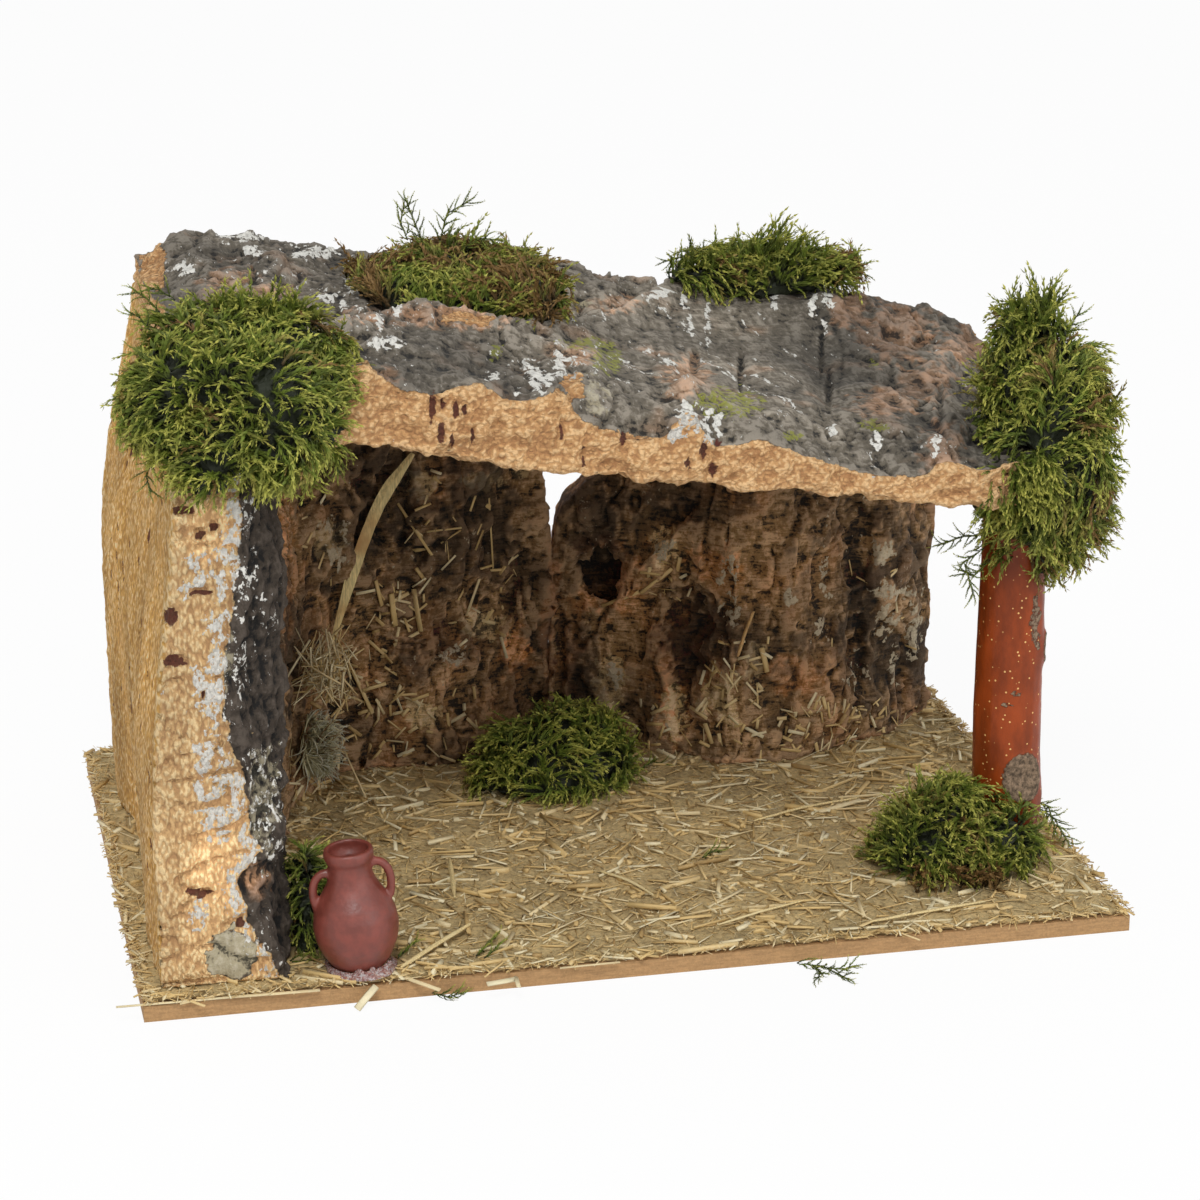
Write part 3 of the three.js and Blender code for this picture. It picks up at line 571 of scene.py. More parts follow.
def bark_group():
    """Weathered bark skin: plates, cross hatching and grit, as a tone and a height."""
    tree, b, start, end = new_group("Bark skin", [
        ("Vector", "NodeSocketVector", None), ("Hatch", "NodeSocketFloat", 0.5)], [
        ("Tone", "NodeSocketFloat"), ("Height", "NodeSocketFloat")])
    place = start.outputs["Vector"]
    plates = b.noise(place, 3.2, 6.0, 0.66, 0.4)
    grit = b.noise(place, 0.8, 4.0, 0.7)
    drawn = b.add("ShaderNodeVectorMath", {0: place, 1: (0.16, 0.16, 1.1)},
                  operation="MULTIPLY").outputs[0]
    streaks = b.range(b.noise(drawn, 0.9, 3.0, 0.6, 0.5), 0.36, 0.62)
    lines = b.math("MULTIPLY", streaks, start.outputs["Hatch"])
    height = b.math("ADD", b.math("MULTIPLY_ADD", plates, 1.3, b.math("MULTIPLY", grit, 0.5)),
                    b.math("MULTIPLY", lines, 0.3))
    tree.links.new(height, end.inputs["Height"])
    # The tone follows the same plates and grit as the height: partly random tone, partly painted
    # shade where the skin is low.
    tone = b.math("ADD", b.math("MULTIPLY", plates, 0.75), b.math("MULTIPLY", grit, 0.45))
    tone = b.math("MULTIPLY_ADD", lines, 0.16, tone)
    tree.links.new(b.range(tone, 0.38, 0.92), end.inputs["Tone"])
    return tree


def groups():
    """The shared effect groups, each built once."""
    built = {}
    for name, builder in (("Flecks", flecks_group), ("Cork skin", cork_group),
                          ("Bark skin", bark_group)):
        built[name] = bpy.data.node_groups.get(name) or builder()
    return built


def new_material(name, roughness=0.9, **constants):
    """A material with its node builder and its Principled shader."""
    material = bpy.data.materials.new(name)
    material.use_nodes = True
    material.node_tree.nodes.clear()
    build = Nodes(material.node_tree)
    shader = build.add("ShaderNodeBsdfPrincipled", {"Roughness": roughness, **constants})
    output = build.add("ShaderNodeOutputMaterial", {"Surface": shader.outputs[0]})
    output.location = (300, 0)
    return material, build, shader


def set_look(build, shader, colour, height=None, depth_mm=0.5, strength=1.0):
    build.tree.links.new(colour, shader.inputs["Base Color"])
    if height is not None:
        bump = build.add("ShaderNodeBump", {"Height": height, "Strength": strength,
                                            "Distance": depth_mm * MM})
        build.tree.links.new(bump.outputs[0], shader.inputs["Normal"])


def darker(colour, share):
    return tuple(c * share for c in colour[:3])


def brighter(colour, share):
    return tuple(min(1, c * share) for c in colour)


def slab_material(name, settings, bark, white_share=(1, 1, 1), flow=(1, 1, 1), hatch_turn=(0, 0, 0),
                  hatch=0.5, warm=screen(186, 138, 98), pale=screen(158, 148, 122), cork=None,
                  grain=(1.5, 1, 1), fleck_mm=2.0, depth_mm=0.8):
    """Bark, bare cork, white crust, lichen and pits, each where the piece's marks say, with painted
    shade in the hollows and painted highlights on the crests.
    """
    material, b, shader = new_material(name, 0.92)
    cork = cork or tuple(settings.cork)
    belly = tuple(settings.belly)
    white = tuple(c * k for c, k in zip(settings.white, white_share))
    shared = groups()
    place = b.millimetres()
    flowing = b.millimetres(flow)
    turned = b.add("ShaderNodeMapping", {"Vector": flowing, "Rotation": hatch_turn}).outputs[0]
    skin = b.group(shared["Bark skin"], {"Vector": turned, "Hatch": hatch})
    sponge = b.group(shared["Cork skin"], {"Vector": b.millimetres(grain)})
    crest = b.attribute("crest")

    def shades(tone, base, dark, light):
        """Dark in the hollows, mostly painted shade, the base between, and lighter and greyer on the
        crests, partly weathering and partly painted highlight.
        """
        low = b.blend(b.range(tone, 0.12, 0.46), darker(base, dark), base)
        grey = sum(base[:3]) / 3
        return b.blend(b.range(tone, 0.5, 0.95), low, tuple(
            min(1, (0.75 * c + 0.25 * grey) * light) for c in base[:3]))

    # The tone follows the relief, from the crest mark and the skin's heights, so low places are
    # painted shade and high ones painted highlight.
    tone = b.math("MULTIPLY_ADD", crest, 0.75, b.math("MULTIPLY_ADD", skin.outputs["Tone"], 0.8,
                                                      -0.26))
    colour = shades(tone, bark, 0.08, 2.3)
    patchy = b.range(b.noise(place, 9.0, 3.0), 0.35, 0.7)
    warm_share = b.math("MULTIPLY", b.math("MULTIPLY_ADD", patchy, 0.6, 0.4), b.attribute("warm"))
    colour = b.blend(warm_share, colour, shades(tone, warm, 0.14, 1.9))
    worn = b.range(b.ragged(b.attribute("pale"), b.noise(place, 3.0, 6.0, 0.7), 2.4), 0.4, 0.75)
    colour = b.blend(worn, colour, shades(tone, pale, 0.2, 1.4))
    yellow = b.group(shared["Flecks"], {"Vector": place, "Size": 2.2,
                                        "Amount": b.attribute("yellow")})
    colour = b.blend(b.math("MULTIPLY", yellow.outputs[0], 0.8), colour, screen(140, 142, 56))

    is_cork = b.range(b.ragged(b.attribute("cork"), b.noise(place, 2.6, 5.0), 1.3), 0.42, 0.56)
    # Bare cork too: its tone follows the relief, with painted shade in its hollows and painted
    # highlights on its lumps and crests.
    bare_tone = b.math("MULTIPLY_ADD", crest, 0.7, b.math("MULTIPLY_ADD", sponge.outputs["Tone"],
                                                         0.85, -0.3))
    yellowish = b.blend(b.attribute("belly"), cork, belly)
    low = b.blend(b.range(bare_tone, 0.1, 0.55), b.blend(0.4, yellowish, screen(128, 68, 34)),
                  yellowish)
    bare = b.blend(b.range(bare_tone, 0.55, 0.95), low, tuple(
        min(1, c * k) for c, k in zip(cork, (1.45, 1.6, 1.9))))
    colour = b.blend(is_cork, colour, bare)
    # The shade mark scales the colour: tone that differs from place to place, and painted shade
    # where a piece's marks put it.
    colour = b.add("ShaderNodeVectorMath", {
        0: colour, "Scale": b.range(b.attribute("shade"), 0, 1, 0.22, 1.78)},
        operation="SCALE").outputs[0]

    white_mask = b.group(shared["Flecks"], {"Vector": flowing, "Size": fleck_mm, "Amount": b.math(
        "MULTIPLY", b.attribute("white"), b.range(crest, 0.2, 0.6, 0.55, 1.1))}).outputs[0]
    colour = b.blend(b.math("MULTIPLY", white_mask, 0.92), colour, b.blend(
        b.range(b.noise(place, 1.2, 3.0), 0.3, 0.6), darker(white, 0.72), white))
    pit = b.range(b.ragged(b.attribute("pit"), b.noise(place, 1.6, 5.0, 0.7), 1.5), 0.4, 0.62)
    colour = b.blend(b.math("MULTIPLY", pit, 0.93), colour, b.blend(
        b.noise(place, 2.0), screen(42, 20, 16), screen(116, 52, 40)))

    spongy = b.math("MULTIPLY", sponge.outputs["Height"], 1.7)
    rough = b.math("MULTIPLY_ADD", b.math("SUBTRACT", spongy, skin.outputs["Height"]), is_cork,
                   skin.outputs["Height"])
    height = b.math("MULTIPLY_ADD", white_mask, 0.25, rough)
    set_look(b, shader, colour, height, depth_mm)
    return material


# Bark and cork slabs

SEAM_MM = [(-130, 52), (-105, 50), (-85, 46), (-70, 66), (-58, 84), (-46, 92), (-30, 84),
           (-12, 98), (0, 116), (15, 128), (30, 154), (40, 168), (45, 178), (55, 197)]
FRONT_EDGE_SLOPE = 0.08
ROOF_LEFT_MM = -128

# Features of the roof in the photo, as windows in its pixels
ROOF_PITS = [(428, 392, 436, 425), (440, 398, 446, 410), (452, 400, 458, 420),
             (462, 404, 468, 415), (438, 418, 445, 445), (449, 434, 455, 450),
             (470, 425, 475, 448), (558, 420, 562, 450), (582, 445, 586, 468),
             (619, 430, 627, 445), (700, 442, 707, 460), (708, 460, 717, 478),
             (685, 458, 691, 468), (1002, 472, 1012, 478), (714, 439, 722, 447)]
ROOF_HOLLOWS = [(912, 336, 936, 350), (738, 350, 744, 395), (819, 330, 824, 380),
                (826, 370, 832, 412), (936, 385, 944, 415), (655, 420, 672, 440),
                (690, 350, 700, 372), (340, 330, 372, 342), (505, 305, 520, 330)]
ROOF_WHITES = [(518, 354, 536, 377), (528, 366, 552, 392), (514, 386, 521, 398),
               (484, 368, 498, 381), (370, 334, 406, 351), (376, 310, 384, 331),
               (552, 345, 560, 375), (556, 350, 576, 380), (672, 402, 700, 425),
               (696, 410, 722, 440), (663, 422, 684, 446), (680, 290, 688, 312),
               (688, 305, 694, 335), (705, 295, 711, 345), (771, 285, 778, 318),
               (808, 292, 818, 318), (822, 290, 833, 312), (820, 320, 828, 332),
               (868, 436, 880, 470), (828, 420, 836, 440), (932, 430, 942, 455),
               (392, 300, 402, 320), (650, 288, 672, 300)]
ROOF_STREAKS = [(548, 301, 596, 313), (575, 375, 612, 412)]
ROOF_YELLOWS = [(560, 335, 620, 352), (590, 345, 625, 375), (690, 386, 762, 420),
                (867, 355, 880, 368), (855, 418, 890, 432), (486, 345, 505, 362),
                (780, 430, 806, 442)]
ROOF_WARMS = [(373, 304, 504, 326), (668, 384, 690, 398), (928, 450, 958, 478),
              (205, 268, 252, 292), (244, 284, 292, 301), (366, 368, 400, 392),
              (664, 362, 708, 394), (925, 425, 962, 470), (600, 295, 640, 312),
              (830, 285, 870, 330),
              (860, 300, 930, 360), (860, 385, 920, 415), (560, 345, 596, 365),
              (940, 330, 1000, 360), (900, 360, 950, 400)]
ROOF_BARES = [(440, 312, 500, 324), (345, 366, 372, 400), (560, 380, 585, 402)]
REAR_BARES = [(140, 240, 166, 292)]
REAR_WHITES = [(215, 232, 270, 243), (238, 245, 262, 257), (288, 245, 346, 258),
               (318, 290, 352, 306), (176, 262, 200, 275), (345, 268, 362, 300)]


def roof_slab(node, name, settings, front):
    """A roof slab: furrowed bark on top, bare cork on its front edge and underside."""
    piece = even_slab(node, name, settings.mesh_step)
    points, normals = places_mm(piece), normals_of(piece)
    x, y = points[:, 0], points[:, 1]
    seam = line_at(SEAM_MM, x) + FRONT_MM
    behind_edge = y - (FRONT_MM + 3 + FRONT_EDGE_SLOPE * (x - ROOF_LEFT_MM))
    up = ramp(normals[:, 2], 0.05, 0.5)
    if front:
        bitten = behind_edge + 2.2 * cloud(points, 7, 51, 3)
        bare = ramp(-normals[:, 1], 0.25, 0.7) * ramp(bitten, 5.0, 2.5)
        bare = np.maximum(bare, ramp(np.abs(normals[:, 0]), 0.6, 0.9) * ramp(y - seam, 2, -2))
        bare = np.maximum(bare, windows(piece, ROOF_BARES, 0.8))
        plate = ramp(x, -12, 4) * ramp(x, 100, 84) * ramp(behind_edge, 22, 34)
    else:
        bare = ramp(-normals[:, 0], 0.5, 0.85) * ramp(x, -118, -124)
        bare = np.maximum(bare, windows(piece, REAR_BARES))
        plate = np.zeros(len(x))
    bare = np.maximum(bare, ramp(-normals[:, 2], 0.2, 0.6))
    bark_share = up * (1 - bare)
    rough = bark_share * (1 - 0.72 * plate)
    across = x - 0.15 * y
    deep = settings.relief / MM
    slanted = np.stack([across, y, points[:, 2]], 1)
    amount = deep * (0.6 * (furrows(across, y, 61, 9.0) - 0.6) * rough
                     + 2.6 * (crags(slanted, 11, 17, 5, (1, 1.5, 1)) - 0.5) * rough
                     + 0.6 * (crags(slanted, 6.0, 29, 3, (0.8, 4, 1)) - 0.5) * bark_share * plate
                     + 0.25 * cloud(points, 3.0, 19, 3) * rough)
    amount += 0.8 * (terraces(2.2 * cloud(points, 16, 27, 4, (1, 1.6, 1))) + 0.5) * rough
    amount -= 1.6 * cracks(slanted, 16, 33, (1, 2.2, 1)) * rough
    amount += (3.0 * (crags(points, 6.5, 21, 4, (1.6, 1.3, 0.7)) - 0.5)
               + 1.0 * cloud(points, 9, 23, 2) + 1.1 * cloud(points, 3.6, 25, 2, (1.5, 1, 1))) * bare
    amount -= 1.6 * windows(piece, ROOF_HOLLOWS, 0.3) + 1.0 * windows(piece, ROOF_PITS, 0.2)
    push_out(piece, amount)
    mark_crests(piece)
    mark(piece, "cork", bare)
    columns = ramp(noise((x + 0.35 * y) / 3.2, y / 60, 5), 0.35, 0.7) * plate
    white = 0.36 + 0.22 * cloud(points, 24, 3, 3) - 0.18 * plate + 0.4 * columns
    white -= 0.12 * ramp(x, 70, 120)
    listed = windows(piece, ROOF_WHITES if front else REAR_WHITES, 0.8)
    # On the bare cork the white flecks stand in for its glints, as painted highlights; on the bark
    # they are lichen crust and paint flecks.
    mark(piece, "white", np.maximum(white * bark_share + bare * 0.2, 0.9 * listed))
    edges_dark = 0.13 * ramp(x, -10, -40) + 0.17 * ramp(x, 60, 90)
    mark(piece, "shade", 0.5 + (0.2 * cloud(points, 26, 12, 3) - edges_dark) * bark_share)
    mark(piece, "yellow", np.maximum(0.08 * bark_share, 0.8 * windows(piece, ROOF_YELLOWS)))
    mark(piece, "warm", np.maximum(0.3 * ramp(cloud(points, 14, 9, 3), 0.2, 0.7) * bark_share,
                                   0.75 * windows(piece, ROOF_WARMS, 0.9)))
    mark(piece, "pale", 0.55 * windows(piece, ROOF_STREAKS, 0.7))
    mark(piece, "pit", 0.8 * windows(piece, ROOF_PITS, 0.25))
    material = bpy.data.materials.get("Roof bark") or slab_material(
        "Roof bark", settings, settings.bark, flow=(1, 3.2, 1),
        hatch_turn=(math.radians(90), 0, math.radians(-8)), hatch=1.0, grain=(0.75, 0.6, 0.65),
        fleck_mm=1.5)
    return dress(piece, "bark", material, node)


class STABLE_OT_roof(bpy.types.Operator):
    """Make the two roof slabs of furrowed bark with their broken cork edges"""
    bl_idname = "stable.roof"
    bl_label = "Roof slabs"

    def execute(self, context):
        settings = context.scene.stable_bark
        roof_slab("roof_front", "bark_roof_front", settings, True)
        roof_slab("roof_rear", "bark_roof_rear", settings, False)
        return {"FINISHED"}


# Right edge of the sawn face of the left wall: height, place across
FACE_EDGE_MM = [(7, -106.5), (36, -119.5), (48, -112.9), (96, -121.7), (138, -114.9),
                (180, -112)]
WALL_PITS = [(172, 505, 196, 515), (194, 530, 206, 540), (208, 522, 220, 531),
             (190, 589, 214, 596), (164, 607, 177, 625), (163, 655, 187, 668),
             (184, 888, 216, 897), (236, 916, 245, 930), (200, 691, 206, 698)]
WALL_WHITES = [(216, 535, 250, 605), (192, 660, 220, 720), (206, 600, 240, 700),
               (194, 735, 216, 800), (200, 765, 242, 846), (186, 895, 210, 928),
               (228, 545, 264, 625), (244, 745, 286, 866), (232, 640, 250, 705),
               (180, 555, 210, 600), (232, 498, 256, 545), (226, 868, 240, 910)]
WALL_PALES = [(214, 618, 236, 692), (246, 738, 284, 862), (178, 500, 230, 560)]
WALL_BLOCK = [(206, 926, 256, 980)]
WALL_LIGHTS = [(184, 832, 266, 910), (176, 500, 232, 560)]
WALL_WARMS = [(240, 860, 270, 900), (160, 700, 176, 800), (180, 780, 200, 830)]


def left_wall(settings):
    """The tall cork slab: sawn face to the front, smooth pitted belly to the left, bark inside."""
    piece = even_slab("left_wall", "cork_left_wall", settings.mesh_step)
    points, normals = places_mm(piece), normals_of(piece)
    x, y, z = points.T
    belly = ramp(-normals[:, 0], 0.35, 0.75)
    face = ramp(-normals[:, 1], 0.45, 0.8) * ramp(y, FRONT_MM + 9, FRONT_MM + 6.5)
    inner = ramp(normals[:, 0], 0.2, 0.6)
    strip = ramp(x - line_at(FACE_EDGE_MM, z) + 2.5 * cloud(points, 8, 43, 3), -3.5, -0.5) * face
    face = face * (1 - strip)
    rng = np.random.default_rng(5)
    pits = np.zeros(len(x))
    for _ in range(BELLY_PITS):
        cy, cz = rng.uniform(FRONT_MM + 8, 88), rng.uniform(12, 172)
        width, height = rng.uniform(0.5, 1.6), rng.uniform(0.6, 3.6)
        d = ((y - cy) / width) ** 2 + ((z - cz - 0.3 * (y - cy)) / height) ** 2
        pits = np.maximum(pits, np.exp(-d) * belly)
    bark = np.maximum(inner, strip)
    amount = 1.9 * (furrows(y + 0.2 * z, z, 71, 7.0) - 0.55) * inner
    amount += 3.0 * (crags(points, 7.0, 37, 4, (1, 1, 1.4)) - 0.5) * bark
    amount += 1.0 * terraces(2.4 * cloud(points, 9, 39, 3, (1, 1, 1.5))) * bark
    amount += (0.8 * (crags(points, 2.6, 31, 3, (1, 1, 3.0)) - 0.5)
               + 0.9 * cloud(points, 14, 33, 2, (1, 1, 2))) * face
    amount -= 1.3 * cracks(points, 15, 53, (2.5, 1, 0.7)) * face
    amount += (1.4 * cloud(points, 15, 36, 2, (1, 1, 5)) + 0.25 * cloud(points, 2.2, 35, 3)
               + 0.5 * (crags(points, 7, 38, 3, (1, 1.2, 0.9)) - 0.5)) * belly - 1.0 * pits
    amount -= 1.3 * windows(piece, WALL_PITS, 0.3)
    push_out(piece, amount)
    mark_crests(piece)
    mark(piece, "cork", np.maximum(np.maximum(face, belly), 1 - bark)
         * (1 - windows(piece, WALL_BLOCK, 0.3)))
    mark(piece, "belly", belly)
    border = np.exp(-((x - line_at(FACE_EDGE_MM, z) + 4) / 4) ** 2) * face
    mark(piece, "white", np.maximum(
        face * 0.26 + 0.5 * border + bark * (0.24 + 0.3 * cloud(points, 18, 41, 3)),
        (0.8 - 0.18 * bark) * windows(piece, WALL_WHITES, 1.1)))
    block = windows(piece, WALL_BLOCK, 0.3)
    mark(piece, "pale", np.maximum(block, 0.6 * windows(piece, WALL_PALES, 0.7)))
    mark(piece, "shade", 0.5 - 0.1 * bark + 0.14 * cloud(points, 16, 47, 3, (1, 1, 3)) * (1 - bark)
         + 0.16 * windows(piece, WALL_LIGHTS, 0.6))
    mark(piece, "yellow", bark * 0.08)
    mark(piece, "warm", np.maximum(inner * ramp(y, -40, 10) * 0.8, windows(piece, WALL_WARMS)))
    mark(piece, "pit", np.maximum(pits * 1.2, windows(piece, WALL_PITS, 0.3)))
    return piece


class STABLE_OT_left_wall(bpy.types.Operator):
    """Make the tall cork slab on the left"""
    bl_idname = "stable.left_wall"
    bl_label = "Left wall"

    def execute(self, context):
        settings = context.scene.stable_bark
        piece = left_wall(settings)
        material = slab_material("Wall cork", settings, screen(64, 54, 44), flow=(1, 1, 1.5),
                                 hatch=0.3, cork=tuple(settings.sawn), grain=(0.55, 0.55, 1.1),
                                 fleck_mm=1.5, depth_mm=0.7)
        dress(piece, "cork", material, "left_wall")
        return {"FINISHED"}


# Features of the rear walls in the photo, as windows in its pixels
REAR_HOLLOWS = [(580, 540, 616, 590), (590, 575, 618, 600), (664, 590, 712, 668),
                (848, 505, 872, 600), (852, 600, 866, 700), (898, 600, 912, 700),
                (345, 470, 400, 500), (400, 520, 440, 560), (505, 540, 530, 640),
                (262, 640, 296, 700), (430, 620, 480, 660), (320, 690, 350, 745),
                (676, 660, 690, 735), (552, 585, 566, 740), (520, 575, 540, 600)]
REAR_PALES = [(650, 528, 678, 570), (660, 684, 688, 744), (508, 460, 540, 480),
              (312, 520, 348, 560),
              (458, 470, 502, 490), (455, 610, 505, 645), (700, 680, 745, 725),
              (400, 470, 440, 500), (745, 640, 765, 680), (590, 660, 625, 720),
              (405, 700, 440, 730)]
REAR_WHITE_SPOTS = [(855, 530, 872, 542), (868, 538, 894, 566), (815, 555, 828, 580),
                    (818, 575, 832, 605), (812, 620, 832, 642), (870, 585, 925, 600),
                    (872, 600, 895, 640), (905, 600, 922, 660), (848, 650, 868, 700),
                    (715, 548, 735, 590), (718, 590, 738, 625), (785, 590, 798, 608),
                    (650, 535, 672, 560), (440, 640, 470, 665), (322, 515, 345, 540),
                    (330, 545, 345, 575), (890, 640, 900, 690), (605, 665, 622, 690)]
REAR_ORANGES = [(500, 630, 532, 672), (548, 540, 560, 640), (556, 600, 580, 700),
                (540, 600, 552, 680), (592, 560, 640, 610), (655, 640, 690, 745),
                (270, 500, 296, 640), (690, 545, 740, 580), (760, 660, 830, 690),
                (575, 585, 600, 620)]
REAR_REDS = [(662, 606, 722, 680), (575, 536, 630, 556)]
REAR_KNOTS = [(584, 552, 616, 597)]
# Painted shade: the roof's shadow at the top left and right, and dark hollows and recesses.
REAR_PAINTED_SHADE = [(300, 450, 430, 482), (640, 480, 760, 520), (830, 500, 940, 720),
              (262, 560, 330, 700), (440, 455, 520, 600), (340, 470, 420, 560),
              (560, 480, 636, 552), (840, 500, 935, 600), (560, 640, 600, 760),
              (380, 640, 440, 700), (660, 590, 730, 680), (895, 600, 935, 700)]
REAR_BRIGHTS = [(502, 631, 529, 663), (648, 528, 678, 571), (661, 684, 688, 742),
                (858, 532, 894, 566), (872, 586, 925, 640)]
REAR_LIGHTS = [(270, 480, 300, 620), (455, 560, 520, 640), (400, 650, 500, 740),
               (655, 650, 695, 745), (700, 640, 780, 760), (720, 520, 830, 640),
               (590, 590, 660, 700), (640, 520, 690, 580), (780, 640, 850, 740)]


def back_wall(node, name, settings, seed):
    """A rear slab: rough brown bark with deep cracks towards the front, cork behind."""
    piece = even_slab(node, name, settings.mesh_step, rounds=3)
    points, normals = places_mm(piece), normals_of(piece)
    x, y, z = points.T
    along = x + 0.6 * y
    inner = ramp(-normals[:, 1] + 0.5 * normals[:, 0] * (x < -60), 0.05, 0.45)
    bare = ramp(normals[:, 1], 0.1, 0.5)
    ends = (1 - inner) * (1 - bare)
    layered = ramp(cloud(points, 24, seed + 1, 2), -0.35, 0.25)
    plates = terraces(2.6 * cloud(points, 20, seed + 21, 4, (1, 1, 1.4)))
    relief = 1.7 * plates + 1.6 * (crags(points, 15.0, seed + 3, 3, (1, 1, 1.3)) - 0.5)
    relief += 0.9 * layered * ramp(cloud(points, 9, seed + 2, 2), -0.4, 0.5) * (
        ledges(z, along, seed + 5, 3.0) - 0.5)
    relief += 0.3 * cloud(points, 3.2, seed + 7, 3)
    relief -= 2.0 * cracks(points, 16, seed, (1, 1, 2.2))
    amount = relief * inner + 0.5 * cloud(points, 2.2, seed + 9, 3) * (bare + ends)
    amount += 0.7 * (1 - inner) * (1 - bare) * np.exp(-((x - 3) / 9) ** 2) * ramp(z, 86, 74)
    hollows, knots = windows(piece, REAR_HOLLOWS, 0.8), windows(piece, REAR_KNOTS, 0.5)
    reds = windows(piece, REAR_REDS, 1.0)
    push_out(piece, amount - 2.4 * hollows - 3.5 * knots)
    # Tone from place to place and by plate, with painted shade in the knot hole, the shade windows,
    # the top under the roof and the red-brown recess; darker towards the right.
    shade = 0.5 + 0.22 * cloud(points, 22, seed + 15, 3) + 0.1 * (plates % 3 - 1) - 0.5 * knots
    shade += 0.24 * windows(piece, REAR_LIGHTS, 0.9) - 0.3 * windows(piece, REAR_PAINTED_SHADE, 0.9)
    shade += 0.55 * windows(piece, REAR_BRIGHTS, 0.5)
    mark(piece, "shade", shade - 0.14 * ramp(z, 112, 128) - 0.16 * reds - 0.07 * ramp(x, 25, 75))
    mark_crests(piece)
    mark(piece, "cork", bare)
    # Dark red-brown pit colour in parts of the hollows: painted shade.
    mark(piece, "pit", 0.4 * hollows * ramp(cloud(points, 6, seed, 2), -0.5, 0.2))
    mark(piece, "warm", np.maximum(0.45 * ends + 0.3 * ramp(cloud(points, 17, seed, 3), 0, 0.6)
                                   + 0.5 * reds,
                                   np.maximum(0.6 * windows(piece, REAR_ORANGES, 0.9),
                                              windows(piece, REAR_ORANGES[:1], 0.5))))
    mark(piece, "pale", np.maximum(0.8 * windows(piece, REAR_PALES, 0.7),
                                   0.32 * ramp(cloud(points, 9, seed + 11, 3), 0.1, 0.8)))
    mark(piece, "white", np.maximum(0.2 + 0.2 * ramp(cloud(points, 20, seed + 9, 3), 0, 0.6),
                                    0.85 * windows(piece, REAR_WHITE_SPOTS, 0.9)) * inner)
    return piece


class STABLE_OT_back_walls(bpy.types.Operator):
    """Make the two rough bark slabs at the rear"""
    bl_idname = "stable.back_walls"
    bl_label = "Back walls"

    def execute(self, context):
        settings = context.scene.stable_bark
        material = slab_material("Inside bark", settings, settings.inside, (0.72, 0.62, 0.46),
                                 (1, 1, 1.3), hatch=1.0, warm=screen(178, 114, 56),
                                 pale=screen(176, 148, 104), fleck_mm=1.6, depth_mm=1.0)
        for node, name, seed in (("back_wall_left", "bark_back_left", 83),
                                 ("back_wall_right", "bark_back_right", 97)):
            dress(back_wall(node, name, settings, seed), "bark", material, node)
        return {"FINISHED"}


# Board and straw floor

def board_material(settings):
    material, b, shader = new_material("Fibreboard", 0.85)
    place = b.millimetres()
    felt = b.noise(place, 0.7, 4.0, 0.7)
    layered = b.noise(b.millimetres((6, 6, 0.7)), 1.0, 3.0)
    tone = b.math("MULTIPLY_ADD", felt, 0.5, b.math("MULTIPLY", layered, 0.5))
    colour = b.blend(b.range(tone, 0.3, 0.7), darker(settings.board, 0.72),
                     brighter(settings.board, 1.15))
    set_look(b, shader, colour, felt, 0.15)
    return material


def crust_material(settings):
    material, b, shader = new_material("Straw crust", 0.95)
    place = b.millimetres()
    dust = b.noise(place, 1.6, 6.0, 0.72)
    broad = b.noise(place, 14.0, 3.0)
    tone = b.math("MULTIPLY_ADD", dust, 0.75, b.math("MULTIPLY", broad, 0.35))
    colour = b.blend(b.range(tone, 0.36, 0.72), darker(settings.crust, 0.55),
                     brighter(settings.crust, 1.35))
    set_look(b, shader, colour, dust, 0.8)
    return material


def straw_material(name, straw):
    """Straw whose shade follows each piece's own tone."""
    material, b, shader = new_material(name, 0.62)
    tone = b.attribute("tone")
    streak = b.noise(b.millimetres(), 0.9, 3.0)
    share = b.math("MULTIPLY_ADD", streak, 0.3, b.math("MULTIPLY_ADD", tone, 0.95, -0.12))
    dark = b.blend(b.range(share, 0.0, 0.45), tuple(
        c * k for c, k in zip(straw, (0.42, 0.33, 0.24))), tuple(
        c * k for c, k in zip(straw, (0.86, 0.78, 0.68))))
    colour = b.blend(b.range(share, 0.5, 1.05), dark, (0.80, 0.72, 0.48))
    set_look(b, shader, colour, streak, 0.15)
    return material


def surface_of(*nodes):
    """A search tree, in mm, over nodes of the part."""
    points, faces = [], []
    for node in nodes:
        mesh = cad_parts[node].data
        mesh.calc_loop_triangles()
        faces += [[len(points) + v for v in t.vertices] for t in mesh.loop_triangles]
        points += [v.co / MM for v in mesh.vertices]
    return BVHTree.FromPolygons(points, faces)


def floor_height(tree, x, y):
    """Height of the straw cover in mm, or of its rim outside it."""
    hit = tree.ray_cast(Vector((x, y, 30)), Vector((0, 0, -1)), 28)
    return hit[0].z if hit[0] is not None else FLOOR_TOP_MM - 0.3


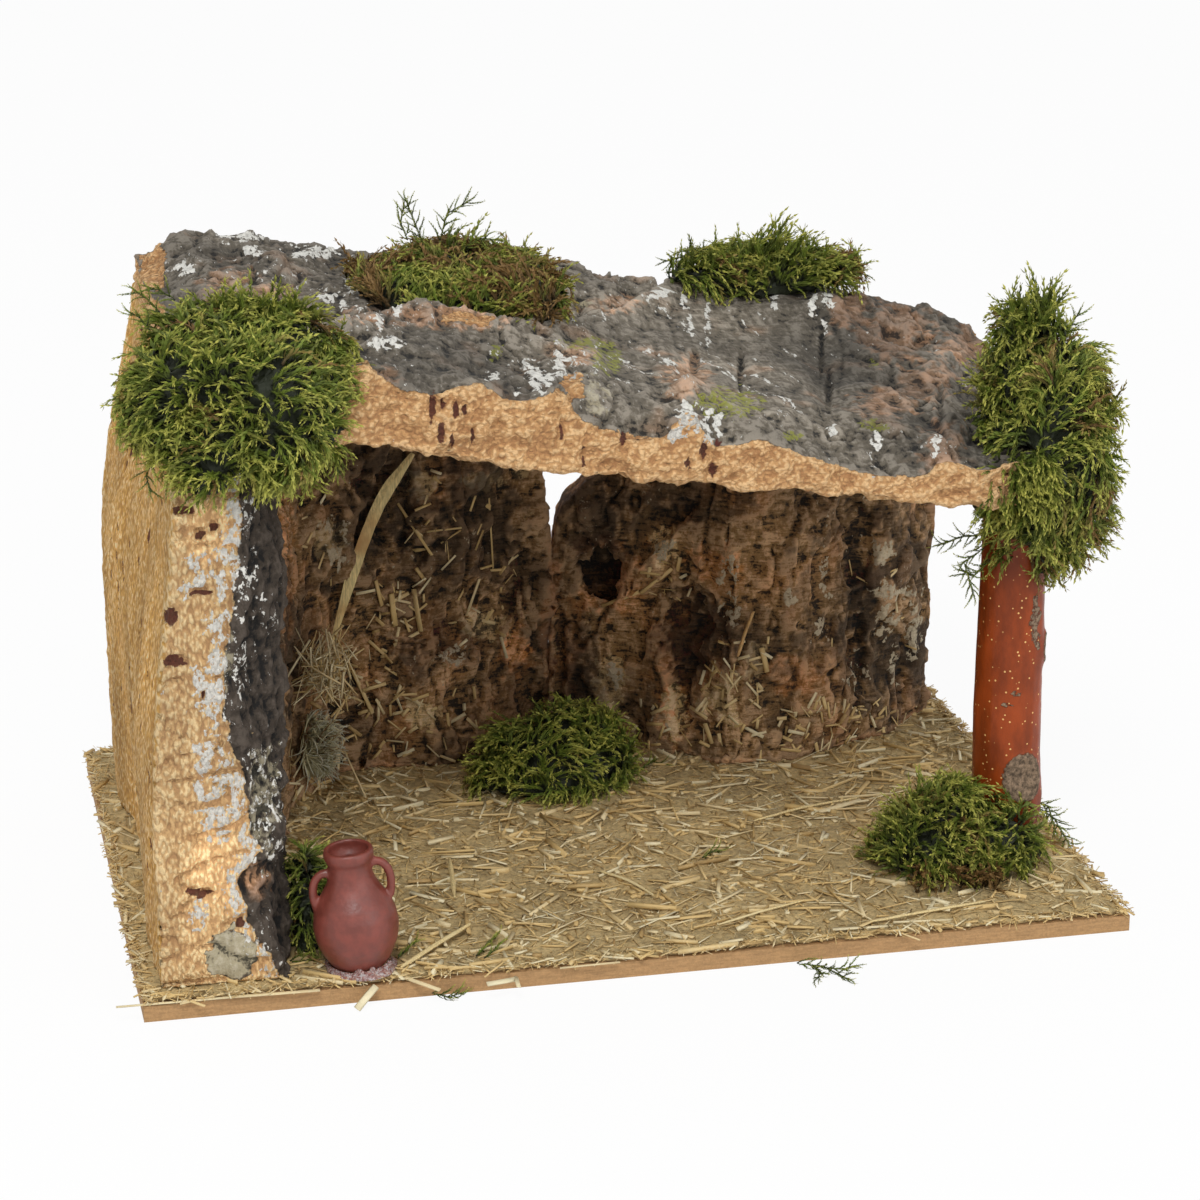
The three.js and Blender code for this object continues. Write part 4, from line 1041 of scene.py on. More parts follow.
def ground_crust(settings):
    """The glued layer on the board: a grid with a thickness, lumpy on top."""
    low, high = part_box("ground_cover")
    centre, size = (low + high) / 2, high - low
    deselect_all()
    bpy.ops.mesh.primitive_grid_add(x_subdivisions=190, y_subdivisions=130, size=1,
                                    location=(centre.x, centre.y, high.z))
    piece = bpy.context.object
    piece.name = "straw_crust"
    edit(piece)
    bpy.ops.transform.resize(value=(size.x - 0.002, size.y - 0.002, 1))
    bpy.ops.mesh.extrude_region_move(TRANSFORM_OT_translate={"value": (0, 0, low.z - high.z)})
    bpy.ops.mesh.select_all(action="SELECT")
    bpy.ops.mesh.normals_make_consistent(inside=False)
    leave_edit()
    settle(piece)
    points = places_mm(piece)
    top = points[:, 2] > high.z / MM - 0.1
    cover = surface_of("ground_cover")
    heights = np.array([floor_height(cover, px, py) for px, py in points[top, :2]])
    flat = points * (1, 1, 0)
    lumps = 1.1 * (crags(flat, 3.0, 3, 3) - 0.6) + 0.35 * cloud(flat, 1.6, 5, 2)
    points[top, 2] = heights + np.clip(lumps[top] * settings.grit / MM, -0.8, 1.0)
    rim = 1.2 * cloud(flat, 3.0, 9, 3)
    for axis, half in ((0, size.x / MM / 2 - 1), (1, size.y / MM / 2 - 1)):
        middle = centre[axis] / MM
        side = np.sign(points[:, axis] - middle)
        at_rim = np.abs(points[:, axis] - middle) > half - 0.3
        points[at_rim, axis] += (side * np.clip(rim, -1.2, 0.9))[at_rim]
    set_places(piece, points)
    return shade_smooth(piece)


# Small shapes that are modelled once and laid many times

def template(piece):
    """The points in mm, triangles and share of the length of a modelled shape, which is removed."""
    pick(piece)
    piece.data.calc_loop_triangles()
    triangles = np.empty(len(piece.data.loop_triangles) * 3, np.int32)
    piece.data.loop_triangles.foreach_get("vertices", triangles)
    points = places_mm(piece)
    height = points[:, 2]
    low, high = height.min(), height.max()
    bpy.data.meshes.remove(piece.data)
    return points, triangles.reshape(-1, 3), (height - low) / (high - low)


def lay(name, shapes, laid):
    """One piece from many turned and scaled copies: laid holds (shape, 3x3 matrix, place, marks)."""
    chunks, faces, marks, offset = [], [], {"tip": []}, 0
    for index, matrix, place, values in laid:
        points, triangles, tip = shapes[index]
        chunks.append(points @ np.asarray(matrix).T + place)
        faces.append(triangles + offset)
        offset += len(points)
        marks["tip"].append(tip)
        for key, value in values.items():
            marks.setdefault(key, []).append(np.full(len(points), value))
    faces = np.concatenate(faces)
    mesh = bpy.data.meshes.new(name)
    mesh.vertices.add(offset)
    mesh.vertices.foreach_set("co", (np.concatenate(chunks) * MM).astype(np.float32).ravel())
    mesh.loops.add(faces.size)
    mesh.loops.foreach_set("vertex_index", faces.ravel().astype(np.int32))
    mesh.polygons.add(len(faces))
    mesh.polygons.foreach_set("loop_start", np.arange(0, faces.size, 3, dtype=np.int32))
    mesh.update(calc_edges=True)
    piece = bpy.data.objects.new(name, mesh)
    bpy.context.scene.collection.objects.link(piece)
    for key, values in marks.items():
        mark(piece, key, np.concatenate(values))
    return piece


def frame_along(direction, roll=0.0, width=1.0, length=1.0, thick=None):
    """A matrix that stands a shape modelled along Z along a direction."""
    turn = Vector(direction).to_track_quat("Z", "Y").to_matrix() @ Matrix.Rotation(roll, 3, "Z")
    return np.array(turn) @ np.diag((width, thick or width, length))


def straw_template(sides, bow):
    """A straw 1 mm wide and 1 mm long, slightly bowed."""
    deselect_all()
    bpy.ops.mesh.primitive_circle_add(vertices=sides, radius=0.0005, fill_type="NGON")
    piece = bpy.context.object
    edit(piece)
    for step in (0.5, 0.5):
        bpy.ops.mesh.extrude_region_move(TRANSFORM_OT_translate={
            "value": (bow * MM if step else 0, 0, step * MM)})
        bow = -bow
    leave_edit()
    edit(piece)
    bpy.ops.mesh.normals_make_consistent(inside=False)
    leave_edit()
    return template(settle(piece))


def flat_direction(rng, tilt=0.12):
    yaw = rng.uniform(0, 2 * math.pi)
    return Vector((math.cos(yaw), math.sin(yaw), rng.normal(0, tilt))).normalized()


def strew(rng, cover, count, width, length, lift, spread_in_mm, tilt, tones=(1.3, 1.3), over=1.3):
    """Straws lying at random on the floor, at the height it has there."""
    (x0, x1), (y0, y1) = spread_in_mm
    laid = []
    for _ in range(count):
        direction = flat_direction(rng, tilt)
        size = length[0] + (length[1] - length[0]) * rng.random() ** 2.2
        broad = width[0] + (width[1] - width[0]) * rng.random() ** 1.6
        x, y = rng.uniform(x0, x1), rng.uniform(y0, y1)
        half = np.array(direction) * size / 2
        if abs(x) + abs(half[0]) > 149.5 + over or abs(y) + abs(half[1]) > 102.5 + over:
            continue
        height = max(floor_height(cover, x + k * half[0], y + k * half[1]) for k in (-0.6, 0, 0.6))
        place = np.array((x, y, height + rng.uniform(*lift)))
        laid.append((int(rng.integers(0, 3)),
                     frame_along(direction, rng.uniform(0, 6.3), broad, size,
                                 broad * rng.uniform(0.25, 0.5)),
                     place - half, {"tone": rng.beta(*tones)}))
    return laid


# Strips along the board's edges where the crust's rim is thick with fibres, in mm
RIM_AREAS = [((-150, 150), (-103.4, -100)), ((-150, 150), (100, 103)),
             ((147.5, 150.5), (-102, 102)), ((-150.5, -147.5), (-102, 102))]


class STABLE_OT_ground(bpy.types.Operator):
    """Give the board its finish and strew straw on it"""
    bl_idname = "stable.ground"
    bl_label = "Board and straw floor"

    def execute(self, context):
        settings = context.scene.stable_base
        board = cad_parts["base_board"]
        board.data.materials.clear()
        board.data.materials.append(board_material(settings))
        dress(ground_crust(settings), "cover", crust_material(settings), "ground_cover")
        shapes, fine = ([straw_template(sides, bow) for bow in (0.01, 0.03, -0.04)]
                        for sides in (5, 3))
        straw = straw_material("Straw", settings.straw)
        rng = np.random.default_rng(11)
        area = ((-149.5, 149.5), (-102.5, 102.5))
        cover = surface_of("ground_cover")
        chopped = lay("chopped_straw", shapes, strew(
            rng, cover, settings.chopped, (0.4, 2.0), (2.5, 19), (-0.1, 0.7), area, 0.08,
            (1.5, 1.05)))
        dress(chopped, "straw", straw)
        fibres = lay("straw_fibres", fine, strew(
            rng, cover, settings.fibres, (0.2, 0.6), (1.2, 7), (-0.1, 0.5), area, 0.2))
        dress(fibres, "straw", straw)
        rim = []
        for area in RIM_AREAS:
            rim += strew(rng, cover, RIM_FIBRES, (0.25, 0.7), (2, 9), (-0.7, 0.3), area, 0.3, over=3)
            rim += strew(rng, cover, RIM_STRAWS, (0.6, 1.6), (4, 20), (-0.2, 0.4), area, 0.1, over=3)
        dress(lay("rim_straw", shapes, rim), "straw", straw)
        return {"FINISHED"}


# Post, jug and glue

def stem_material(settings):
    material, b, shader = new_material("Red stem", 0.42, **{"Specular IOR Level": 0.28})
    place = b.millimetres()
    mottled = b.noise(b.millimetres((1, 1, 2.5)), 7.0, 4.0)
    colour = b.blend(b.range(mottled, 0.3, 0.7), darker(settings.stem, 0.55), settings.stem)
    dots = b.add("ShaderNodeTexVoronoi", {"Vector": place, "Scale": 0.52, "Randomness": 1.0})
    near = b.range(dots.outputs["Distance"], 0.19, 0.12)
    kept = b.add("ShaderNodeSeparateColor", {"Color": dots.outputs["Color"]}).outputs[0]
    dot = b.math("MULTIPLY", near, b.range(kept, 0.25, 0.3))
    colour = b.blend(b.math("MULTIPLY", dot, 0.9), colour, screen(236, 190, 120))
    rough = b.noise(place, 1.5, 5.0, 0.7)
    grey = b.blend(b.range(rough, 0.35, 0.65), darker(settings.scar, 0.4),
                   brighter(settings.scar, 1.5))
    scar = b.range(b.ragged(b.attribute("scar"), rough, 0.8), 0.4, 0.55)
    colour = b.blend(scar, colour, grey)
    chip = b.range(b.ragged(b.attribute("chip"), rough, 0.8), 0.4, 0.55)
    colour = b.blend(chip, colour, b.blend(rough, screen(150, 84, 48), screen(222, 170, 122)))
    height = b.math("MULTIPLY", rough, b.math("MULTIPLY_ADD", b.math("MAXIMUM", scar, chip),
                                              1.0, 0.12))
    set_look(b, shader, colour, height, 0.8)
    b.tree.links.new(b.range(b.math("MAXIMUM", scar, chip), 0, 1, 0.4, 0.85),
                     shader.inputs["Roughness"])
    return material


# Grey streak and scratch on the post, as windows in the photo's pixels
POST_GREYS = [(1030, 592, 1041, 648), (998, 702, 1012, 708), (1010, 690, 1024, 697)]


class STABLE_OT_post(bpy.types.Operator):
    """Make the red-brown stem that carries the roof's front right"""
    bl_idname = "stable.post"
    bl_label = "Post"

    def execute(self, context):
        settings = context.scene.stable_post
        piece = even_slab("post", "stem_post", POST_STEP, rounds=6)
        points = places_mm(piece)
        centre = (points.min(0) + points.max(0)) / 2
        angle = np.arctan2(points[:, 1] - centre[1], points[:, 0] - centre[0])
        z = points[:, 2]
        twigs = [(-1.35, 35.5, 9.6), (-0.15, 76, 6.5)]
        scar = np.zeros(len(z))
        for turn, height, radius in twigs:
            bow = np.angle(np.exp(1j * (angle - turn))) * 10.7
            d = np.hypot(bow, (z - height) * 0.95)
            scar = np.maximum(scar, ramp(d, radius, radius * 0.55))
            ring = np.exp(-((d - radius * 0.62) / 1.3) ** 2)
            push_out(piece, 0.7 * ring - 0.5 * ramp(d, radius * 0.5, 0))
        chip = ramp(z, 24, 14) * ramp(np.cos(angle + 2.4), 0.0, 0.6)
        push_out(piece, 0.12 * cloud(points, 6.0, 5, 2) + 0.5 * (scar + chip)
                 * cloud(points, 1.5, 9, 3))
        mark(piece, "scar", np.maximum(scar, 0.55 * windows(piece, POST_GREYS, 0.7)))
        mark(piece, "chip", chip)
        dress(piece, "stem", stem_material(settings), "post")
        return {"FINISHED"}


HANDLE_RADIUS_MM = 1.3


def tube(points_mm, radius_mm):
    """A round bar along a smooth line."""
    curve = bpy.data.curves.new("bar", "CURVE")
    curve.dimensions = "3D"
    curve.bevel_depth = radius_mm * MM
    curve.bevel_resolution = 4
    curve.use_fill_caps = True
    curve.resolution_u = 6
    line = curve.splines.new("BEZIER")
    line.bezier_points.add(len(points_mm) - 1)
    for point, place in zip(line.bezier_points, points_mm):
        point.co = Vector(place) * MM
        point.handle_left_type = point.handle_right_type = "AUTO"
    piece = bpy.data.objects.new("bar", curve)
    bpy.context.scene.collection.objects.link(piece)
    pick(piece)
    bpy.ops.object.convert(target="MESH")
    return bpy.context.object


# The jug's place and turn, and its outline as radius and height in mm
JUG_ACROSS, JUG_BEHIND_FRONT, JUG_FOOT_RADIUS = -0.0856, 0.0094, 0.0083
JUG_TURN = math.radians(-6)
JUG_PROFILE = [(0, 0), (7.6, 0), (8.3, 0.7), (9.3, 2.2), (10.4, 4.2), (11.8, 7.5), (12.4, 10.5),
               (12.6, 13), (12.1, 16.5), (10.8, 20), (9.0, 23), (7.5, 25.6), (6.6, 28),
               (6.2, 30.6), (6.3, 32.2), (7.0, 33.3), (7.4, 34.4), (7.4, 35.8), (6.8, 36.8)]


def jug_body(settings):
    """Turned body: the outline and its inner copy, spun once round."""
    k = settings.height / MM / 36.8
    wall = settings.wall / MM
    outer = [(r * k, z * k) for r, z in JUG_PROFILE]
    inner = [(max(r - wall, 0.3), z) for r, z in reversed(outer[3:-1])]
    profile = outer + [(outer[-1][0] - wall * 0.7, outer[-1][1])] + inner[:-1] + [
        (outer[4][0] * 0.55, 3.2 * k), (0, 3.0 * k)]
    mesh = bpy.data.meshes.new("jug_body")
    mesh.from_pydata([(r * MM, 0, z * MM) for r, z in profile],
                     [(i, i + 1) for i in range(len(profile) - 1)], [])
    piece = bpy.data.objects.new("jug_body", mesh)
    bpy.context.scene.collection.objects.link(piece)
    edit(piece)
    bpy.ops.mesh.spin(steps=56, angle=2 * math.pi, center=(0, 0, 0), axis=(0, 0, 1))
    bpy.ops.mesh.select_all(action="SELECT")
    bpy.ops.mesh.remove_doubles(threshold=0.00002)
    bpy.ops.mesh.normals_make_consistent(inside=False)
    leave_edit()
    return piece


def clay_material(settings):
    material, b, shader = new_material("Jug clay", 0.4, **{"Coat Weight": 0.12,
                                                          "Coat Roughness": 0.5})
    place = b.millimetres()
    dusty = b.noise(place, 4.0, 4.0)
    colour = b.blend(b.range(dusty, 0.3, 0.72), darker(settings.clay, 0.8),
                     brighter(settings.clay, 1.18))
    specks = b.group(groups()["Flecks"], {"Vector": place, "Size": 1.5, "Amount": 0.14})
    colour = b.blend(b.math("MULTIPLY", specks.outputs[0], 0.75), colour, (0.72, 0.62, 0.58))
    set_look(b, shader, colour, b.noise(place, 1.2, 4.0), 0.12)
    b.tree.links.new(b.range(dusty, 0.3, 0.7, 0.36, 0.5), shader.inputs["Roughness"])
    return material


class STABLE_OT_jug(bpy.types.Operator):
    """Make the small jug with its two handles and the glue at its foot"""
    bl_idname = "stable.jug"
    bl_label = "Jug and glue"

    def execute(self, context):
        settings = context.scene.stable_jug
        parts = [jug_body(settings)]
        for side, lift in ((-1, -2.6), (1, -0.4)):
            path = [(side * r, 0, z + lift) for r, z in (
                (5.4, 31.2), (7.8, 32), (10.2, 30.4), (11.4, 27), (11.3, 23.5), (10.7, 20.5))]
            parts.append(tube(path, HANDLE_RADIUS_MM))
        jug = join(parts, "clay_jug")
        even_out(jug, JUG_STEP, 6)
        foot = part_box("jug")[0]
        lift = foot.z + JUG_FOOT_RADIUS * math.sin(settings.lean) + 0.0001
        at = Vector((JUG_ACROSS, JUG_BEHIND_FRONT + FRONT_MM * MM, lift))
        jug.data.transform(Matrix.Translation(at) @ Matrix.Rotation(-settings.lean, 4, "Y")
                           @ Matrix.Rotation(JUG_TURN, 4, "Z"))
        shade_smooth(jug)
        dress(jug, "clay", clay_material(settings), "jug")

        glue = [copy_of("jug_glue", "hot_glue")]
        rng = np.random.default_rng(3)
        for _ in range(GLUE_BLOBS):
            angle = rng.uniform(-1.9, -0.6)
            reach = 8.9 + rng.uniform(-0.3, 1.5)
            size = rng.uniform(0.45, 1.15)
            deselect_all()
            bpy.ops.mesh.primitive_ico_sphere_add(
                subdivisions=2, radius=size * MM,
                location=(at.x + reach * MM * math.cos(angle), at.y + reach * MM * math.sin(angle),
                          foot.z + rng.uniform(0.4, 2.4) * MM))
            glue.append(settle(bpy.context.object))
        bead = join(glue, "hot_glue")
        even_out(bead, GLUE_STEP, 2)
        shade_smooth(bead)
        material, b, shader = new_material("Hot glue", 0.22, **{"Transmission Weight": 0.6,
                                                               "IOR": 1.45})
        milky = b.noise(b.millimetres(), 0.7, 3.0)
        set_look(b, shader, b.blend(b.range(milky, 0.4, 0.68), screen(176, 120, 112),
                                    screen(240, 234, 232)),
                 milky, 0.3)
        dress(bead, "glue", material, "jug_glue")
        return {"FINISHED"}


# Moss and lichen

def moss_material(name, settings, greyness=0.0):
    """Shoots: dark at the base as painted shade inside the cushion, green along the stem, pale at
    the tips, brown where dry.
    """
    material, b, shader = new_material(name, 0.7)
    tip, tone, dry = (b.attribute(key) for key in ("tip", "tone", "dry"))
    patchy = b.noise(b.millimetres(), 5.0, 2.0)
    mixed = b.math("MULTIPLY_ADD", tone, 0.5, b.math("MULTIPLY", patchy, 0.6))
    grey = screen(190, 182, 142)
    fresh = tuple(c + (g - c) * greyness for c, g in zip(settings.fresh, grey))
    tips = tuple(c + (g - c) * greyness for c, g in zip(settings.tips, screen(196, 198, 184)))
    deep = tuple(c + (g - c) * greyness * 0.6 for c, g in zip(settings.deep, grey))
    body = b.blend(b.range(mixed, 0.2, 0.8), darker(fresh, 0.55), brighter(fresh, 1.25))
    colour = b.blend(b.range(tip, 0.0, 0.4), deep, body)
    colour = b.blend(b.math("MULTIPLY", b.range(tip, 0.5, 1.0), b.range(mixed, 0.2, 0.8, 0.35, 1)),
                     colour, tips)
    # Dry shoots also darken towards the base: painted shade.
    brown = b.blend(b.range(tip, 0.0, 0.8), darker(settings.dry, 0.35), settings.dry)
    colour = b.blend(b.range(b.math("ADD", dry, b.math("MULTIPLY", tone, 0.35)), 0.55, 0.85),
                     colour, brown)
    set_look(b, shader, colour)
    return material


def shoot_template(bend, leafy, rng):
    """One moss shoot about 9 mm long: a tapering curved stem, closely set with pointed leaves when
    leafy.
    """
    deselect_all()
    bpy.ops.mesh.primitive_circle_add(vertices=3, radius=0.0004, fill_type="NGON")
    stem = bpy.context.object
    edit(stem)
    path, heading = [Vector((0, 0, 0))], -bend * 0.35
    for _ in range(7):
        heading += bend / 7
        move = Vector((math.sin(heading), 0, math.cos(heading))) * 0.0013
        bpy.ops.mesh.extrude_region_move(TRANSFORM_OT_translate={"value": move})
        path.append(path[-1] + move)
        bpy.ops.transform.resize(value=(0.84, 0.84, 0.84), center_override=path[-1])
    bpy.ops.mesh.select_all(action="SELECT")
    bpy.ops.mesh.normals_make_consistent(inside=False)
    leave_edit()
    parts = [stem]
    if leafy:
        deselect_all()
        bpy.ops.mesh.primitive_plane_add(size=0.001)
        leaf = bpy.context.object
        for vertex, place in zip(leaf.data.vertices, ((0, 0.1, 0), (0.4, 0.3, 0.8),
                                                      (-0.4, 0.3, 0.8), (0, 0.25, 2.3))):
            vertex.co = Vector(place) * MM
        for level in range(1, 8):
            at, way = path[level], (path[level] - path[level - 1]).normalized()
            turn = way.to_track_quat("Z", "Y").to_matrix().to_4x4()
            for k in range(2 if level > 5 else 3):
                roll = 2 * math.pi * k / 3 + level * 1.1 + rng.uniform(-0.3, 0.3)
                open_by = -rng.uniform(0.05, 0.5)
                size = rng.uniform(0.8, 1.1) * (1.0 - 0.055 * level)
                copy = leaf.copy()
                copy.data = leaf.data.copy()
                copy.data.transform(Matrix.Translation(at) @ turn @ Matrix.Rotation(roll, 4, "Z")
                                    @ Matrix.Rotation(open_by, 4, "X") @ Matrix.Scale(size, 4))
                bpy.context.scene.collection.objects.link(copy)
                parts.append(copy)
        bpy.data.meshes.remove(leaf.data)
    return template(join(parts, "shoot"))


def surface_places(piece, spacing_mm, rng):
    """Places and normals spread evenly over a piece."""
    piece.data.calc_loop_triangles()
    faces = np.array([t.vertices[:] for t in piece.data.loop_triangles])
    points, normals = places_mm(piece), normals_of(piece)
    a, b, c = (points[faces[:, n]] for n in range(3))
    area = np.linalg.norm(np.cross(b - a, c - a), axis=1) / 2
    count = int(area.sum() / spacing_mm ** 2)
    chosen = rng.choice(len(faces), count, p=area / area.sum())
    u, v = rng.random(count), rng.random(count)
    u, v = np.where(u + v > 1, 1 - u, u), np.where(u + v > 1, 1 - v, v)
    w = 1 - u - v
    mixed = [sum(values[faces[chosen, n]] * share[:, None] for n, share in enumerate((w, u, v)))
             for values in (points, normals)]
    return mixed[0], mixed[1] / np.linalg.norm(mixed[1], axis=1)[:, None]


MOSS_SPILL_MM = 3.0


def drooping_roll(way):
    """The roll about its own line that lets a shoot's bend hang down."""
    turn = Vector(way).to_track_quat("Z", "Y").to_matrix()
    return math.atan2(-(turn @ Vector((0, 1, 0))).z, -(turn @ Vector((1, 0, 0))).z)


def shoots_over(piece, shapes, solids, rng, spacing, size, dryness, lean, spread_by):
    """Shoots all over a cushion in swirls, except where it lies against something."""
    laid = []
    places, normals = surface_places(piece, spacing, rng)
    low, high = places.min(0) - MOSS_SPILL_MM, places.max(0) + MOSS_SPILL_MM
    swirl = np.stack([noise(places[:, 0] / 13, places[:, 1] / 13, places[:, 2] / 13 + k)
                      for k in (3.3, 17.7, 31.1)], 1) * 2.2
    clumps = cloud(places, 7.0, 3, 2)
    for place, normal, flow, clump in zip(places, normals, swirl, clumps):
        up = Vector(normal)
        if solids.ray_cast(Vector(place) - up * 0.2, up, 1.4)[0] is not None:
            continue
        for attempt in range(5):
            side = Vector(flow + rng.normal(0, 0.55, 3))
            side = (side - side.dot(up) * up).normalized()
            way = (up * rng.uniform(0.1, 0.8) + side * rng.uniform(0.6, 1.2) * spread_by
                   + Vector(lean)).normalized()
            scale = size * (rng.uniform(0.55, 1.2) if attempt < 4 else 0.45)
            shape = int(rng.integers(0, len(shapes)))
            matrix = frame_along(way, drooping_roll(way) + rng.normal(0, 0.7),
                                 scale * rng.uniform(0.85, 1.2), scale)
            root = place + normal * (1.5 * clump - 2.0 + 1.0 * max(0, up.z) - 1.5 * rng.random())
            reach = shapes[shape][0] @ matrix.T + root
            inside = (reach.min(0) > low).all() and (reach.max(0) < high).all()
            if inside or attempt == 4:
                laid.append((shape, matrix, root,
                             {"tone": np.clip(rng.normal(0.5 + 0.25 * clump, 0.22), 0, 1),
                              "dry": dryness(place, rng)}))
                break
    return laid


STRAND_EVERY_MM = 1.3
STRAND_SIZE = 0.58


def strand(path_mm, shapes, rng):
    """Small shoots set alternately along a bent twig, with the twig's own run of shoots."""
    laid, side = [], 1
    for start, end in zip(path_mm[:-1], path_mm[1:]):
        start, end = Vector(start), Vector(end)
        way = (end - start).normalized()
        across = way.cross(Vector((0.3, 1, 0.2))).normalized()
        steps = max(1, int((end - start).length / STRAND_EVERY_MM))
        for k in range(steps):
            place = start.lerp(end, k / steps)
            turned = (way + across * side * rng.uniform(0.5, 1.1)
                      + Vector(rng.normal(0, 0.15, 3))).normalized()
            for direction, scale in ((way, 0.5), (turned, STRAND_SIZE * rng.uniform(0.7, 1.2))):
                laid.append((int(rng.integers(0, len(shapes))),
                             frame_along(direction, rng.uniform(0, 6.3), scale, scale),
                             np.array(place), {"tone": rng.random(), "dry": 0.0}))
            side = -side
    return laid


def tuft(node, name, shapes, solids, settings, seed, spacing=1.0, size=1.0, dry=0.2, lean=(0, 0, 0),
         spread_by=1.0):
    """A moss cushion: a core in the dark colour of the shoots' bases, painted shade for the gaps
    between them, and the shoots that cover it.
    """
    rng = np.random.default_rng(seed)
    core = copy_of(node, name + "_core")
    even_out(core, CORE_STEP, 2)
    scale = size * settings.shoot / MM / 9

    def dryness(place, source):
        patch = noise(place[0] / 9, place[1] / 9, place[2] / 9 + seed)
        return float(np.clip(dry + 0.55 * patch + source.normal(0, 0.12), 0, 1))

    laid = shoots_over(core, shapes, solids, rng, spacing * settings.spacing / MM, scale, dryness,
                       lean, spread_by)
    points = places_mm(core)
    seated = ramp(normals_of(core)[:, 2], -0.2, -0.7)
    push_out(core, (-4.4 + 1.2 * cloud(points, 7.0, 3, 2)) * (1 - seated)
             + 0.9 * cloud(points, 2.5, 7, 2))
    middle = points.mean(0)
    drawn_in = 1 - 0.3 * seated[:, None] * (1, 1, 0)
    set_places(core, middle + (places_mm(core) - middle) * drawn_in)
    # The core gets the dark base colour: painted shade seen through the gaps between the shoots.
    for key, value in (("tip", 0.02), ("tone", 0.3), ("dry", 0.3)):
        mark(core, key, np.full(len(points), value))
    return join([core, lay(name + "_shoots", shapes, laid)], name)


# Extra shoots, by window in the photo: how many, which way, length, dryness
MOSS_PATCHES = [
    ((140, 292, 335, 316), 110, (-0.1, -0.2, 1), 0.9, 0.1),
    ((130, 320, 165, 480), 50, (-0.8, -0.4, 0.1), 0.9, 0.1),
    ((300, 430, 345, 500), 40, (0.5, -0.4, -0.7), 0.8, 0.1),
    ((350, 215, 545, 250), 80, (0.1, -0.1, 1), 1.0, 0.4),
    ((400, 205, 500, 235), 40, (0.2, 0, 1), 1.3, 0.5),
    ((665, 245, 870, 275), 60, (0.2, -0.1, 1), 1.1, 0.2),
    ((730, 240, 800, 262), 30, (0.5, 0, 1), 1.4, 0.2),
    ((1005, 296, 1075, 335), 60, (0.1, -0.1, 1), 1.2, 0.2),
    ((1014, 452, 1054, 508), 260, (0.1, -0.7, -0.35), 0.8, 0.2),
    ((985, 440, 1020, 560), 60, (-0.6, -0.5, -0.5), 0.9, 0.3),
    ((915, 868, 1000, 892), 60, (-0.1, -0.5, 0.6), 0.9, 0.9),
    ((885, 800, 1030, 880), 120, (-0.2, -0.4, 0.9), 0.9, 0.15),
]


def shoots_at(tree, window, count, lean, size, dry, shapes, rng):
    """Shoots rooted on whatever a window of the photo shows."""
    x0, y0, x1, y1 = window
    laid = []
    for _ in range(count):
        spot, out = placed(tree, rng.uniform(x0, x1), rng.uniform(y0, y1))
        if spot is not None:
            way = (Vector(lean) + out * 0.4 + Vector(rng.normal(0, 0.35, 3))).normalized()
            scale = size * rng.uniform(0.7, 1.2)
            laid.append((int(rng.integers(0, len(shapes))),
                         frame_along(way, drooping_roll(way) + rng.normal(0, 0.8), scale, scale),
                         np.array(spot - out * 0.8 - way), {"tone": rng.random(), "dry": dry}))
    return laid


MOSS_TUFTS = {
    "moss_roof_corner": dict(seed=1, dry=0.12, lean=(-0.05, -0.1, -0.12)),
    "moss_post_top": dict(seed=2, dry=0.22, lean=(0.1, -0.1, -0.05)),
    "moss_roof_left": dict(seed=3, dry=0.42, lean=(0.1, -0.1, 0.15)),
    "moss_roof_right": dict(seed=4, dry=0.25, lean=(0.15, 0, 0.25), size=1.1),
    "moss_floor": dict(seed=5, dry=0.05, lean=(0, -0.1, 0.35)),
    "moss_post_foot": dict(seed=6, dry=0.12, lean=(-0.1, -0.1, 0.2)),
    "moss_by_jug": dict(seed=7, dry=0.1, lean=(0.2, -0.1, 0.1)),
}


class STABLE_OT_moss(bpy.types.Operator):
    """Grow the moss cushions and the grey lichen"""
    bl_idname = "stable.moss"
    bl_label = "Moss and lichen"

    def execute(self, context):
        settings = context.scene.stable_moss
        rng = np.random.default_rng(8)
        shapes = [shoot_template(bend, True, rng) for bend in (0.6, 1.0, 1.5, 2.0, 2.6)]
        solids = surface_of("base_board", "ground_cover", "left_wall", "back_wall_left",
                            "back_wall_right", "roof_front", "roof_rear", "post", "jug")
        moss = moss_material("Moss", settings)
        for node, values in MOSS_TUFTS.items():
            piece = tuft(node, "shoots_" + node[5:], shapes, solids, settings, **values)
            dress(piece, "moss", moss, node)
        small = [shoot_template(bend, True, rng) for bend in (0.3, 0.7, 1.1)]
        paths = [[at_depth(u, v, depth) for u, v in line] for depth, line in STRANDS]
        paths += [[at_level(u, v, 1.2) for u, v in line] for line in TABLE_STRANDS]
        paths += [[at_level(u, v, FLOOR_TOP_MM + 0.5) for u, v in line] for line in FLOOR_STRANDS]
        laid = [shoot for path in paths for shoot in strand(path, small, rng)]
        ground = surface_of("roof_front", "post", "ground_cover", *MOSS_TUFTS)
        for window, count, lean, size, dry in MOSS_PATCHES:
            laid += shoots_at(ground, window, count, lean, size * settings.shoot / MM / 9, dry,
                              small, rng)
        strands = lay("moss_strands", small, laid)
        set_places(strands, np.maximum(places_mm(strands), (-999, -999, 0.1)))
        dress(strands, "moss", moss)
        bare = [shoot_template(bend, False, rng) for bend in (0.8, 1.6, 2.4)]
        lichen = tuft("lichen_tuft", "lichen_curls", bare, solids, settings, 9, spacing=0.75,
                      size=0.8, dry=0.0, spread_by=1.6)
        dress(lichen, "lichen", moss_material("Lichen", settings, 1.0), "lichen_tuft")
        return {"FINISHED"}


# Straw, reed and stick

